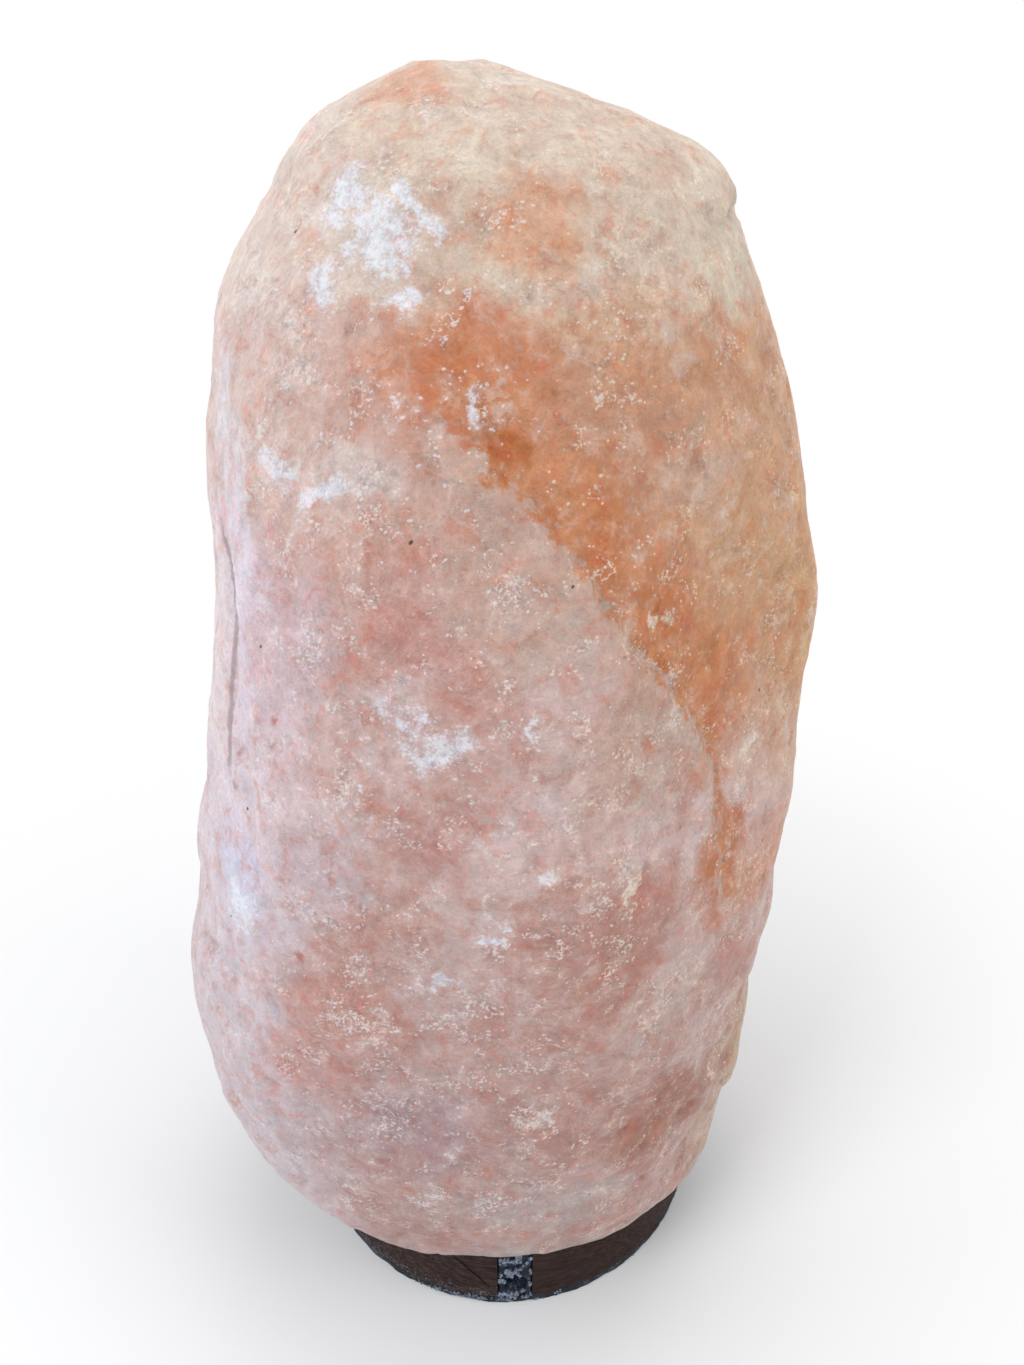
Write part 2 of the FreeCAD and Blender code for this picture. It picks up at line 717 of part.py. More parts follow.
cap_skin = 0.3
bulb_cap = faceted([
    (4.9, CAP_BOTTOM),
    (BULB_CAP_RADIUS - 0.5, CAP_BOTTOM),
    (BULB_CAP_RADIUS, CAP_BOTTOM + 0.6),
    (BULB_CAP_RADIUS, BULB_CAP_TOP),
    (BULB_CAP_RADIUS - cap_skin, BULB_CAP_TOP),
    (BULB_CAP_RADIUS - cap_skin, CAP_BOTTOM + 0.8),
    (4.9, CAP_BOTTOM + 0.8),
], BULB_SIDES)
save("bulb_cap", bulb_cap)

neck = BULB_CAP_RADIUS - cap_skin - 0.1
glass_foot = BULB_CAP_TOP - 5.0
inside = GLASS_RADIUS - GLASS_WALL
bulb_glass = faceted([
    (neck, glass_foot),
    (neck, BULB_CAP_TOP),
    (7.6, BULB_CAP_TOP + 2.6),
    (10.2, BULB_CAP_TOP + 5.0),
    (GLASS_RADIUS, BULB_CAP_TOP + 8.0),
    (GLASS_RADIUS, GLASS_TOP - 8.0),
    (10.2, GLASS_TOP - 4.2),
    (7.6, GLASS_TOP - 1.5),
    (3.6, GLASS_TOP),
    (0, GLASS_TOP),
    (0, GLASS_TOP - GLASS_WALL),
    (3.4, GLASS_TOP - GLASS_WALL),
    (7.0, GLASS_TOP - 2.2),
    (inside, GLASS_TOP - 8.0),
    (inside, BULB_CAP_TOP + 8.0),
    (9.4, BULB_CAP_TOP + 5.3),
    (neck - GLASS_WALL, BULB_CAP_TOP + 0.5),
    (neck - GLASS_WALL, glass_foot),
], BULB_SIDES)
save("bulb_glass", bulb_glass)

stem_bottom = BULB_CAP_TOP - 4.0
stem_outer = neck - GLASS_WALL - 0.05
stem = faceted([
    (0, stem_bottom),
    (stem_outer, stem_bottom),
    (stem_outer, stem_bottom + 0.8),
    (2.2, stem_bottom + 3.4),
    (2.2, stem_bottom + 14.0),
    (0, stem_bottom + 14.0),
], 12)

# lead-in wires out of the stem, bent up to the filament, and a middle support
wire_foot = stem_bottom + 12.0
wire_bend = stem_bottom + 18.0
wire_top = BULB_CAP_TOP + 19.0
wire_reach = 5.2
wires = []
for side in (-1, 1):
    start = Vector(side * 1.0, 0, wire_foot)
    bend = Vector(side * wire_reach, 0, wire_bend)
    rise = rod(bend - Vector(0, 0, 0.3), Vector(bend.x, 0, wire_top), 0.35, 8)
    wires.append(rod(start, bend, 0.35, 8).fuse(rise))
wires.append(rod(Vector(0, 0, wire_foot), Vector(0, 0, wire_top + 2.2), 0.25, 8))
stem = stem.cut(Part.makeCompound(wires))
save("bulb_stem", stem)
save("bulb_wires", Part.makeCompound(wires))

# filament: two straight runs from the wires up to the support
peak = Vector(0, 0, wire_top + 2.6)
coil_radius = 0.4
runs = []
for side in (-1, 1):
    hook = Vector(side * wire_reach, 0, wire_top + coil_radius + 0.25)
    runs.append(rod(hook, peak, coil_radius, 8))
filament = runs[0].fuse(runs[1])
save("bulb_filament", filament)
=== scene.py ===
import math

import bmesh
import bpy
import numpy as np
from mathutils import Matrix, Vector, noise


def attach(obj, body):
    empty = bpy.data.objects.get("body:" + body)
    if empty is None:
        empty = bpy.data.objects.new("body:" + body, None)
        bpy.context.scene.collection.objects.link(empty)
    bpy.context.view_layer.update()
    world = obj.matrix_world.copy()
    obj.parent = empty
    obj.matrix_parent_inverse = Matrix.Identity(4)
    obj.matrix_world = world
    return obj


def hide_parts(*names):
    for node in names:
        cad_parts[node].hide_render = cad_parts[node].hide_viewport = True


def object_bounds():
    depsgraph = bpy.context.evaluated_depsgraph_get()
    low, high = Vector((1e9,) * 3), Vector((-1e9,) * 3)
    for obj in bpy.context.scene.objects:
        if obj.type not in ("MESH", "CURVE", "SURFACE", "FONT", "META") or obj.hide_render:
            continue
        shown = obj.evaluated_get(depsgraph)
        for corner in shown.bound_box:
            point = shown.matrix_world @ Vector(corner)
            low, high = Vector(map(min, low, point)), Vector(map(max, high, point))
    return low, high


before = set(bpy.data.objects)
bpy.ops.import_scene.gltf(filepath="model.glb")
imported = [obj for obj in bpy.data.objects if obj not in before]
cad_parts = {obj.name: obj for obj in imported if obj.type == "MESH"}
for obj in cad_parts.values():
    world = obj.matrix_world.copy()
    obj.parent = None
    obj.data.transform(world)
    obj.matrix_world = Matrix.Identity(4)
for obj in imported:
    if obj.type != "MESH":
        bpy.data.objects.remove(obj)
cad_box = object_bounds()
scene = bpy.context.scene
MM = 0.001
# noise_vector takes its start from this seed, and from the clock without it
NOISE_SEED = 3
noise.seed_set(NOISE_SEED)

# ================================================================ camera
# The lamp stands on the floor and is seen from in front, 30 degrees downwards.
CAMERA_PLACE = (-0.01004, -0.23959, 0.3070)
CAMERA_DOWN = 29.9
CAMERA_RIGHT = 2.9
CAMERA_LENS = 29.01
camera = bpy.data.objects.new("camera", bpy.data.cameras.new("camera"))
camera.data.sensor_width = 36.0
camera.data.lens = CAMERA_LENS
camera.data.clip_start = 0.01
camera.data.clip_end = 30.0
camera.location = CAMERA_PLACE
camera.rotation_euler = (math.radians(90.0 - CAMERA_DOWN), 0.0, math.radians(-CAMERA_RIGHT))
scene.collection.objects.link(camera)
scene.camera = camera
scene.view_settings.view_transform = "Standard"


# ================================================================ small tools
def bare_mesh(name, verts, faces):
    """Mesh data from vertices in millimetres."""
    mesh = bpy.data.meshes.new(name)
    mesh.from_pydata([tuple(c * MM for c in v) for v in verts], [], [tuple(f) for f in faces])
    return mesh


def put(name, shape, body, slot, node=None, crisp=None, look=None, smooth=True):
    """A piece riding on a body in place of a CAD node; edges over crisp degrees stay sharp."""
    mesh = bare_mesh(name, *shape)
    mesh.validate()
    piece = bpy.data.objects.new(name, mesh)
    scene.collection.objects.link(piece)
    mesh.materials.append(looks[look or slot])
    if smooth:
        mesh.polygons.foreach_set("use_smooth", [True] * len(mesh.polygons))
    if node:
        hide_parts(node)
    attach(piece, body)
    tidy_normals(piece, crisp)
    return piece


def tidy_normals(piece, angle=None):
    """Faces point outwards; edges sharper than the angle stay crisp."""
    bm = bmesh.new()
    bm.from_mesh(piece.data)
    bmesh.ops.remove_doubles(bm, verts=bm.verts, dist=1e-7)
    bmesh.ops.recalc_face_normals(bm, faces=bm.faces)
    if angle is not None:
        for edge in bm.edges:
            if len(edge.link_faces) == 2 and edge.calc_face_angle(0.0) > math.radians(angle):
                edge.smooth = False
    bm.to_mesh(piece.data)
    bm.free()


def ring_point(angle, radius, height):
    return radius * math.cos(angle), radius * math.sin(angle), height


def ring_faces(first, second, count):
    """Faces between two rings of vertices, given the number of each ring's first one."""
    faces = []
    for index in range(count):
        after = (index + 1) % count
        faces.append((first + index, first + after, second + after, second + index))
    return faces


def turned_mesh(profile, sides):
    """A closed profile of (radius, height) turned about Z."""
    verts = []
    faces = []
    count = len(profile)
    for index in range(sides):
        angle = 2 * math.pi * index / sides
        verts += [ring_point(angle, radius, height) for radius, height in profile]
        after = (index + 1) % sides
        for row in range(count):
            next_row = (row + 1) % count
            faces.append((index * count + row, after * count + row,
                          after * count + next_row, index * count + next_row))
    return verts, faces


def moved(shape, matrix):
    """The shape moved and turned by a matrix."""
    verts, faces = shape
    return [tuple(matrix @ Vector(v)) for v in verts], faces


def joined(shapes):
    """One shape out of several."""
    verts = []
    faces = []
    for part_verts, part_faces in shapes:
        start = len(verts)
        verts.extend(part_verts)
        faces.extend(tuple(start + i for i in face) for face in part_faces)
    return verts, faces


def smoothstep(low, high, value):
    t = np.clip((value - low) / (high - low), 0.0, 1.0)
    return t * t * (3 - 2 * t)


def noise_at(points, size, seed=0.0):
    """Smooth noise from -1 to 1 with features of about this size."""
    scaled = points / size + seed
    return np.array([noise.noise(Vector(p)) for p in scaled])


def distance_to_line(points, line):
    """Distance of each point from a run of straight pieces, in 2-D or 3-D."""
    best = np.full(len(points), 1e9)
    for start, end in zip(line, line[1:]):
        start = np.array(start, float)
        run = np.array(end, float) - start
        share = np.clip(((points - start) @ run) / (run @ run), 0.0, 1.0)
        gap = np.linalg.norm(points - start - share[:, None] * run, axis=1)
        best = np.minimum(best, gap)
    return best


# ================================================================ node tools
class Value:
    """A node's output that can be added, subtracted and multiplied."""

    def __init__(self, nodes, socket):
        self.nodes = nodes
        self.socket = socket

    def __add__(self, other):
        return self.nodes.math("ADD", self, other)

    def __radd__(self, other):
        return self.nodes.math("ADD", other, self)

    def __sub__(self, other):
        return self.nodes.math("SUBTRACT", self, other)

    def __rsub__(self, other):
        return self.nodes.math("SUBTRACT", other, self)

    def __mul__(self, other):
        return self.nodes.math("MULTIPLY", self, other)


class Nodes:
    """Short names for building the node tree of a material or the world."""

    def __init__(self, owner):
        owner.use_nodes = True
        self.tree = owner.node_tree
        self.tree.nodes.clear()

    def new(self, kind):
        return self.tree.nodes.new("ShaderNode" + kind)

    def link(self, value, socket):
        if isinstance(value, Value):
            value = value.socket
        if isinstance(value, bpy.types.NodeSocket):
            self.tree.links.new(value, socket)
        elif isinstance(value, tuple) and len(value) == 3 and socket.type == "RGBA":
            socket.default_value = (*value, 1.0)
        else:
            socket.default_value = value

    def set(self, **inputs):
        """Values or links for the shader's inputs, spaces written as _."""
        for name, value in inputs.items():
            self.link(value, self.shader.inputs[name.replace("_", " ")])

    def math(self, operation, a, b=0.0, clamp=False):
        node = self.new("Math")
        node.operation = operation
        node.use_clamp = clamp
        self.link(a, node.inputs[0])
        self.link(b, node.inputs[1])
        return Value(self, node.outputs[0])

    def vector(self, operation, a, b=(0.0, 0.0, 0.0)):
        node = self.new("VectorMath")
        node.operation = operation
        self.link(a, node.inputs[0])
        self.link(b, node.inputs["Scale" if operation == "SCALE" else 1])
        single = operation in ("LENGTH", "DISTANCE")
        return Value(self, node.outputs["Value" if single else "Vector"])

    def split(self, vector):
        node = self.new("SeparateXYZ")
        self.link(vector, node.inputs[0])
        return [Value(self, output) for output in node.outputs]

    def noise_node(self, size, detail, rough, place, warp):
        node = self.new("TexNoise")
        self.link(place or self.place, node.inputs["Vector"])
        node.inputs["Scale"].default_value = 1.0 / (size * MM)
        node.inputs["Detail"].default_value = detail
        node.inputs["Roughness"].default_value = rough
        node.inputs["Distortion"].default_value = warp
        return node

    def noise(self, size, detail=3.0, rough=0.55, place=None, warp=0.0):
        """Noise with features of this size in millimetres."""
        return Value(self, self.noise_node(size, detail, rough, place, warp).outputs["Fac"])

    def shaken(self, size, reach, detail, rough):
        """Object coordinates pushed about by noise of this size, by up to half the reach."""
        node = self.noise_node(size, detail, rough, None, 0.0)
        push = self.vector("SUBTRACT", node.outputs["Color"], (0.5, 0.5, 0.5))
        return self.vector("ADD", self.place, self.vector("SCALE", push, reach))

    def cells(self, size, place=None):
        """Distance to the nearest of scattered points, this many millimetres apart, and its colour."""
        node = self.new("TexVoronoi")
        self.link(place or self.place, node.inputs["Vector"])
        node.inputs["Scale"].default_value = 1.0 / (size * MM)
        return Value(self, node.outputs["Distance"]), node.outputs["Color"]

    def stretched(self, scale, turn=(0.0, 0.0, 0.0)):
        """Object coordinates turned and scaled, for grain and streaks."""
        node = self.new("Mapping")
        node.vector_type = "TEXTURE"
        self.link(self.place, node.inputs["Vector"])
        node.inputs["Rotation"].default_value = tuple(math.radians(v) for v in turn)
        node.inputs["Scale"].default_value = scale
        return Value(self, node.outputs[0])

    def step(self, value, low, high, a=0.0, b=1.0):
        """Smooth step of a value from a to b between two limits."""
        node = self.new("MapRange")
        node.interpolation_type = "SMOOTHSTEP"
        self.link(value, node.inputs["Value"])
        for name, limit in (("From Min", low), ("From Max", high), ("To Min", a), ("To Max", b)):
            node.inputs[name].default_value = limit
        return Value(self, node.outputs["Result"])

    def mix(self, share, a, b, blend="MIX"):
        node = self.new("Mix")
        node.data_type = "RGBA"
        node.blend_type = blend
        node.clamp_result = blend != "MIX"
        self.link(share, node.inputs["Factor"])
        self.link(a, [s for s in node.inputs if s.name == "A" and s.type == "RGBA"][0])
        self.link(b, [s for s in node.inputs if s.name == "B" and s.type == "RGBA"][0])
        return Value(self, [s for s in node.outputs if s.type == "RGBA"][0])

    def bump(self, height, depth, strength=1.0, normal=None):
        """Bump whose height of 1 stands for this depth in millimetres."""
        node = self.new("Bump")
        node.inputs["Strength"].default_value = strength
        node.inputs["Distance"].default_value = depth * MM
        self.link(height, node.inputs["Height"])
        if normal is not None:
            self.link(normal, node.inputs["Normal"])
        return Value(self, node.outputs[0])

    def spot(self, centre, size, soft=0.35):
        """1 inside a stretched round patch (millimetres), 0 outside, edge wobbled."""
        gap = self.vector("SUBTRACT", self.wobbled, tuple(c * MM for c in centre))
        scaled = self.vector("DIVIDE", gap, tuple(s * MM for s in size))
        return self.step(self.vector("LENGTH", scaled), 1.0 + soft, 1.0 - soft)


def material_nodes(name):
    """A new material's nodes: shader, output and the object's own coordinates."""
    material = bpy.data.materials.new(name)
    n = Nodes(material)
    n.material = material
    n.out = n.new("OutputMaterial")
    n.shader = n.new("BsdfPrincipled")
    n.link(n.shader.outputs[0], n.out.inputs["Surface"])
    n.place = Value(n, n.new("TexCoord").outputs["Object"])
    return n


# ================================================================ rock shape
STATIONS = np.array((
    (26.0, 58.0, 58.0, 60.0, 56.0),
    (34.0, 71.0, 63.0, 66.0, 64.0),
    (50.0, 80.5, 66.0, 71.0, 70.0),
    (75.0, 86.5, 68.0, 75.0, 73.0),
    (100.0, 86.0, 69.0, 76.0, 74.0),
    (130.0, 79.5, 71.5, 76.0, 73.0),
    (160.0, 73.5, 72.0, 74.0, 71.0),
    (190.0, 68.0, 74.0, 70.0, 68.0),
    (218.0, 64.5, 69.8, 64.0, 63.0),
    (240.0, 63.0, 63.2, 57.0, 58.0),
    (260.0, 59.4, 55.6, 49.0, 50.0),
    (276.0, 51.2, 48.8, 41.0, 42.0),
    (289.0, 42.2, 41.8, 32.0, 33.0),
    (298.0, 33.0, 22.0, 21.0, 23.0),
    (305.5, 17.0, -3.0, 6.0, 8.0),
))
HEART = (-3.0, 0.0, 150.0)
HEWN_FACES = (
    (-103.0, 1.0, 71.0), (-50.0, 9.0, 72.0), (-8.0, 4.0, 80.0), (-158.0, 6.0, 79.0),
    (-92.0, 34.0, 117.0), (-180.0, 24.0, 106.0), (140.0, 5.0, 73.0), (95.0, 4.0, 69.0),
    (45.0, 3.0, 73.0), (75.0, 35.0, 119.0), (-10.0, 48.0, 139.0),
)
SWELLS = (
    (0.40, 0.115, 0.060, 0.125, 0.4),
    (0.35, -0.075, 0.120, 0.095, 2.1),
    (0.30, 0.090, -0.105, 0.170, 4.0),
)
EDGE_SHARPNESS = 26.0
SECTION_POWER = 2.15
BASE_TOP = 26.0
ROCK_TOP = 305.5
CAVITY_RADIUS = 24.0
CAVITY_TOP = 142.0


def rock_surface(angle, height):
    """Points of the rock's broad shape, as the solid has it."""
    index = np.clip(np.searchsorted(STATIONS[:, 0], height) - 1, 0, len(STATIONS) - 2)
    low = STATIONS[index]
    high = STATIONS[index + 1]
    below = STATIONS[np.maximum(index - 1, 0)]
    above = STATIONS[np.minimum(index + 2, len(STATIONS) - 1)]
    span = high[..., 0] - low[..., 0]
    t = (height - low[..., 0]) / span
    reach = []
    for column in range(1, 5):
        slope_low = (high[..., column] - below[..., column]) / (high[..., 0] - below[..., 0])
        slope_high = (above[..., column] - low[..., column]) / (above[..., 0] - low[..., 0])
        reach.append((2 * t ** 3 - 3 * t ** 2 + 1) * low[..., column]
                     + (t ** 3 - 2 * t ** 2 + t) * span * slope_low
                     + (3 * t ** 2 - 2 * t ** 3) * high[..., column]
                     + (t ** 3 - t ** 2) * span * slope_high)
    left, right, front, back = reach
    centre_x = (right - left) / 2.0
    centre_y = (back - front) / 2.0
    ux = np.cos(angle)
    uy = np.sin(angle)
    total = (np.abs(2 * ux / (left + right)) ** SECTION_POWER
             + np.abs(2 * uy / (front + back)) ** SECTION_POWER) ** (EDGE_SHARPNESS / SECTION_POWER)
    for bearing, tilt, distance in HEWN_FACES:
        level = math.cos(math.radians(tilt))
        nx = level * math.cos(math.radians(bearing))
        ny = level * math.sin(math.radians(bearing))
        nz = math.sin(math.radians(tilt))
        facing = nx * ux + ny * uy
        room = (distance - nx * (centre_x - HEART[0]) - ny * (centre_y - HEART[1])
                - nz * (height - HEART[2]))
        cuts = (facing > 0.05) & (room > 1.0)
        total = total + np.where(cuts, (np.where(cuts, facing, 0) / np.where(cuts, room, 1))
                                 ** EDGE_SHARPNESS, 0)
    radius = total ** (-1.0 / EDGE_SHARPNESS)
    rise = 0.0
    for size, along_x, along_y, along_z, start in SWELLS:
        rise = rise + size * np.sin(along_x * (centre_x + radius * ux) + along_y * (centre_y + radius * uy)
                                    + along_z * height + start)
    rise = rise * np.minimum(1.0, (height - BASE_TOP) / 14.0) * np.minimum(1.0, (ROCK_TOP - height) / 16.0)
    radius = radius + rise
    return np.stack([centre_x + radius * ux, centre_y + radius * uy,
                     np.broadcast_to(height, radius.shape)], -1)


def chip_relief(points, size, seed):
    """Shallow struck-off facets: every cell is a slightly tilted flat."""
    relief = np.empty(len(points))
    for index, point in enumerate(points / size + seed):
        gaps, sites = noise.voronoi(Vector(point))
        total = 0.0
        weight_sum = 0.0
        for gap, site in zip(gaps[:3], sites[:3]):
            tilt = noise.noise_vector(site * 7.31)
            weight = math.exp(-14.0 * (gap - gaps[0]))
            total += weight * (Vector(point) - site).dot(tilt)
            weight_sum += weight
        relief[index] = total / weight_sum
    return relief


# forms that the solid has too: the flake's edge as (x, height); grooves as (bearing,
# height, depth), their floor nearest one lip
FLAKE_EDGE = ((-24.0, 262.0), (-12.9, 251.5), (-2.9, 244.0), (7.2, 232.0), (14.6, 221.5), (22.6, 208.5),
              (31.0, 198.0), (38.0, 188.0), (43.0, 171.0), (44.0, 158.0))
FLAKE_DEPTH = 2.4
FLAKE_REACH = 46.0
CREASE = ((-157.0, 228.0, 0.3), (-154.0, 222.0, 1.6), (-150.5, 216.0, 2.4), (-149.0, 204.0, 2.7),
          (-149.0, 191.0, 2.7), (-148.0, 180.0, 2.2), (-148.5, 171.0, 1.2), (-148.5, 165.0, 0.3))
NOTCH = ((-160.0, 114.0, 2.0), (-155.0, 117.0, 3.0), (-150.0, 120.0, 2.8), (-144.0, 121.0, 1.9),
         (-139.5, 118.0, 0.5))
TOP_STEP = ((-35.0, 278.0, 0.4), (-28.0, 279.0, 1.2), (-20.0, 280.0, 1.7), (-11.5, 280.5, 1.8),
            (-4.0, 281.0, 0.4))
TOP_BAND = ((2, -14, 303), (19.2, -13, 297.5), (34, -14, 291), (44, -12, 284))


def side_of_line(points, line):
    """Signed distance from a line drawn in the X-Z plane, positive to its upper right."""
    best = np.full(len(points), 1e9)
    sign = np.ones(len(points))
    for start, end in zip(line, line[1:]):
        start = np.array(start, float)
        run = np.array(end, float) - start
        away = points - start
        share = np.clip((away @ run) / (run @ run), 0.0, 1.0)
        gap = np.linalg.norm(away - share[:, None] * run, axis=1)
        nearer = gap < best
        best = np.where(nearer, gap, best)
        side = run[0] * away[:, 1] - run[1] * away[:, 0]
        sign = np.where(nearer, np.sign(side), sign)
    return best * sign


def groove_depth(points, bearing):
    """Depth of the three grooves at each point, in millimetres."""
    height = points[:, 2]
    line = np.array(CREASE)[::-1]
    floor_at = np.interp(height, line[:, 1], line[:, 0])
    depth = np.interp(height, line[:, 1], line[:, 2], left=0.0, right=0.0)
    behind = (floor_at - bearing) * 1.08
    steep = 1.0 + behind / 0.7
    slanting = 1.0 - behind / (2.4 + 1.4 * depth)
    depth = depth * np.clip(np.where(behind < 0, steep, slanting), 0.0, 1.0)
    for line, above, below in ((NOTCH, 3.6, 3.6), (TOP_STEP, 1.6, 2.4)):
        line = np.array(line)
        floor_at = np.interp(bearing, line[:, 0], line[:, 1])
        deep = np.interp(bearing, line[:, 0], line[:, 2], left=0.0, right=0.0)
        over = height - floor_at
        depth = depth + deep * np.clip(1.0 - np.where(over > 0, over / above, -over / below), 0.0, 1.0)
    return depth


def rock_relief(points, bearing):
    """How far each point moves along its normal, in millimetres."""
    height = points[:, 2]
    lower = smoothstep(190.0, 110.0, height)
    fine = noise_at(points, 4.6, 23.0)
    relief = (0.35 + 0.35 * lower) * noise_at(points, 12.0, 9.4)
    relief += 1.05 * chip_relief(points, 14.0, 4.7)
    streaks = points @ np.array(((1.0, 0.0, 0.35), (0.0, 1.0, 0.1), (-0.08, -0.05, 0.22)))
    relief += 0.45 * noise_at(streaks, 4.5, 17.0) * smoothstep(-14.0, -45.0, points[:, 0])
    relief += 0.24 * fine - 0.30 * np.abs(noise_at(points, 7.5, 41.0)) + 0.12 * noise_at(points, 2.4, 31.0)

    # front flake: the face beyond its edge lies deeper, and the edge itself stands a little proud
    wobble = np.stack([fine, noise_at(points, 6.0, 8.0)], 1)
    side = side_of_line(points[:, [0, 2]] + 1.5 * wobble, FLAKE_EDGE)
    front = smoothstep(-22.0, -34.0, points[:, 1])
    along = np.clip((262.0 - height) / 16.0, 0.0, 1.0) * np.clip((height - 158.0) / 14.0, 0.0, 1.0)
    fall = FLAKE_DEPTH * along * np.clip(1.0 - np.abs(side) / FLAKE_REACH, 0.0, 1.0)
    relief -= front * fall * smoothstep(-0.9, 1.3, side)
    relief += 0.45 * front * along * np.exp(-((side + 3.0) / 3.5) ** 2)

    relief -= groove_depth(points + 0.8 * wobble[:, :1], bearing + 0.5 * fine)
    band = distance_to_line(points, TOP_BAND)
    relief += 0.7 * np.exp(-(band / 2.2) ** 2)

    # scalloped lower right edge and small pits all over
    corner = np.exp(-(np.linalg.norm((points - (52, -50, 82)) / (16, 18, 34), axis=1)) ** 2)
    relief += 1.9 * corner * noise_at(points, 7.0, 61.0)
    pits = noise_at(points, 6.3, 77.0)
    relief -= 0.7 * smoothstep(0.30, 0.55, pits)
    return relief - 0.2


def make_rock():
    around = 396
    angles = np.linspace(-math.pi, math.pi, around, endpoint=False)
    heights = np.linspace(BASE_TOP, ROCK_TOP, 1500)
    probe = rock_surface(angles[::33][:, None], heights[None, :])
    steps = np.linalg.norm(np.diff(probe, axis=1), axis=2).mean(axis=0)
    path = np.concatenate([[0.0], np.cumsum(steps)])
    rows = 216
    levels = np.interp(np.linspace(0.0, path[-1], rows), path, heights)
    levels[0] = BASE_TOP
    levels[-1] = ROCK_TOP
    grid = rock_surface(angles[None, :], levels[:, None])

    # the flat top closes in rings round its middle
    centre = grid[-1].mean(axis=0)
    caps = [centre + (grid[-1] - centre) * share for share in (0.84, 0.66, 0.48, 0.3, 0.14)]
    grid = np.concatenate([grid, np.array(caps)])
    across = np.roll(grid, -1, axis=1) - np.roll(grid, 1, axis=1)
    upward = np.gradient(grid, axis=0)
    normals = np.cross(across, upward)
    normals /= np.linalg.norm(normals, axis=2, keepdims=True) + 1e-9
    normals[-6:] = (0.0, 0.0, 1.0)
    bearing = np.broadcast_to(np.degrees(angles), grid.shape[:2]).reshape(-1)
    relief = rock_relief(grid.reshape(-1, 3), bearing).reshape(grid.shape[:2])
    for row in range(-4, 0):
        relief[row] = relief[row].mean() * 0.5 + relief[row] * 0.5
    foot = smoothstep(BASE_TOP, BASE_TOP + 6.0, grid[..., 2])
    moved_grid = grid + normals * (relief * (0.35 + 0.65 * foot))[..., None]
    moved_grid[0, :, 2] = BASE_TOP
    moved_grid[1:, :, 2] = np.maximum(moved_grid[1:, :, 2], BASE_TOP + 0.02)

    low, high = [np.array(corner) / MM for corner in cad_box]
    for axis in range(3):
        moved_grid[..., axis] = np.minimum(moved_grid[..., axis], high[axis] - 0.02)
        moved_grid[..., axis] = np.maximum(moved_grid[..., axis], low[axis] + 0.02)

    verts = [tuple(p) for p in moved_grid.reshape(-1, 3)]
    total = moved_grid.shape[0]
    faces = []
    for row in range(total - 1):
        faces += ring_faces(row * around, (row + 1) * around, around)
    tip = len(verts)
    verts.append(tuple(moved_grid[-1].mean(axis=0)))
    for index in range(around):
        faces.append(((total - 1) * around + index, (total - 1) * around + (index + 1) % around, tip))

    # underside, bored hollow and its end, each ring a little rough
    rings = [(BASE_TOP, 52.0), (BASE_TOP, 40.0), (BASE_TOP, CAVITY_RADIUS)]
    rings += [(z, CAVITY_RADIUS) for z in np.linspace(BASE_TOP, CAVITY_TOP, 20)[1:]]
    rings += [(CAVITY_TOP, 18.0), (CAVITY_TOP, 10.0), (CAVITY_TOP, 4.0)]
    inner = 99
    ring_starts = []
    for height, radius in rings:
        ring_starts.append(len(verts))
        for index in range(inner):
            angle = -math.pi + 2 * math.pi * index / inner
            grain = 0.0
            if BASE_TOP < height < CAVITY_TOP and radius == CAVITY_RADIUS:
                grain = 0.35 * noise.noise(Vector((4 * math.cos(angle), 4 * math.sin(angle), height / 6)))
            verts.append(ring_point(angle, radius + abs(grain), height))
    fan = around // inner
    for index in range(inner):
        after = (index + 1) % inner
        outer = [(index * fan + step) % around for step in range(fan + 1)]
        first = ring_starts[0]
        faces.append((*reversed(outer), first + index, first + after))
    for start, following in zip(ring_starts, ring_starts[1:]):
        faces += ring_faces(following, start, inner)
    middle = len(verts)
    verts.append((0.0, 0.0, CAVITY_TOP))
    for index in range(inner):
        faces.append((ring_starts[-1] + (index + 1) % inner, ring_starts[-1] + index, middle))
    return verts, faces


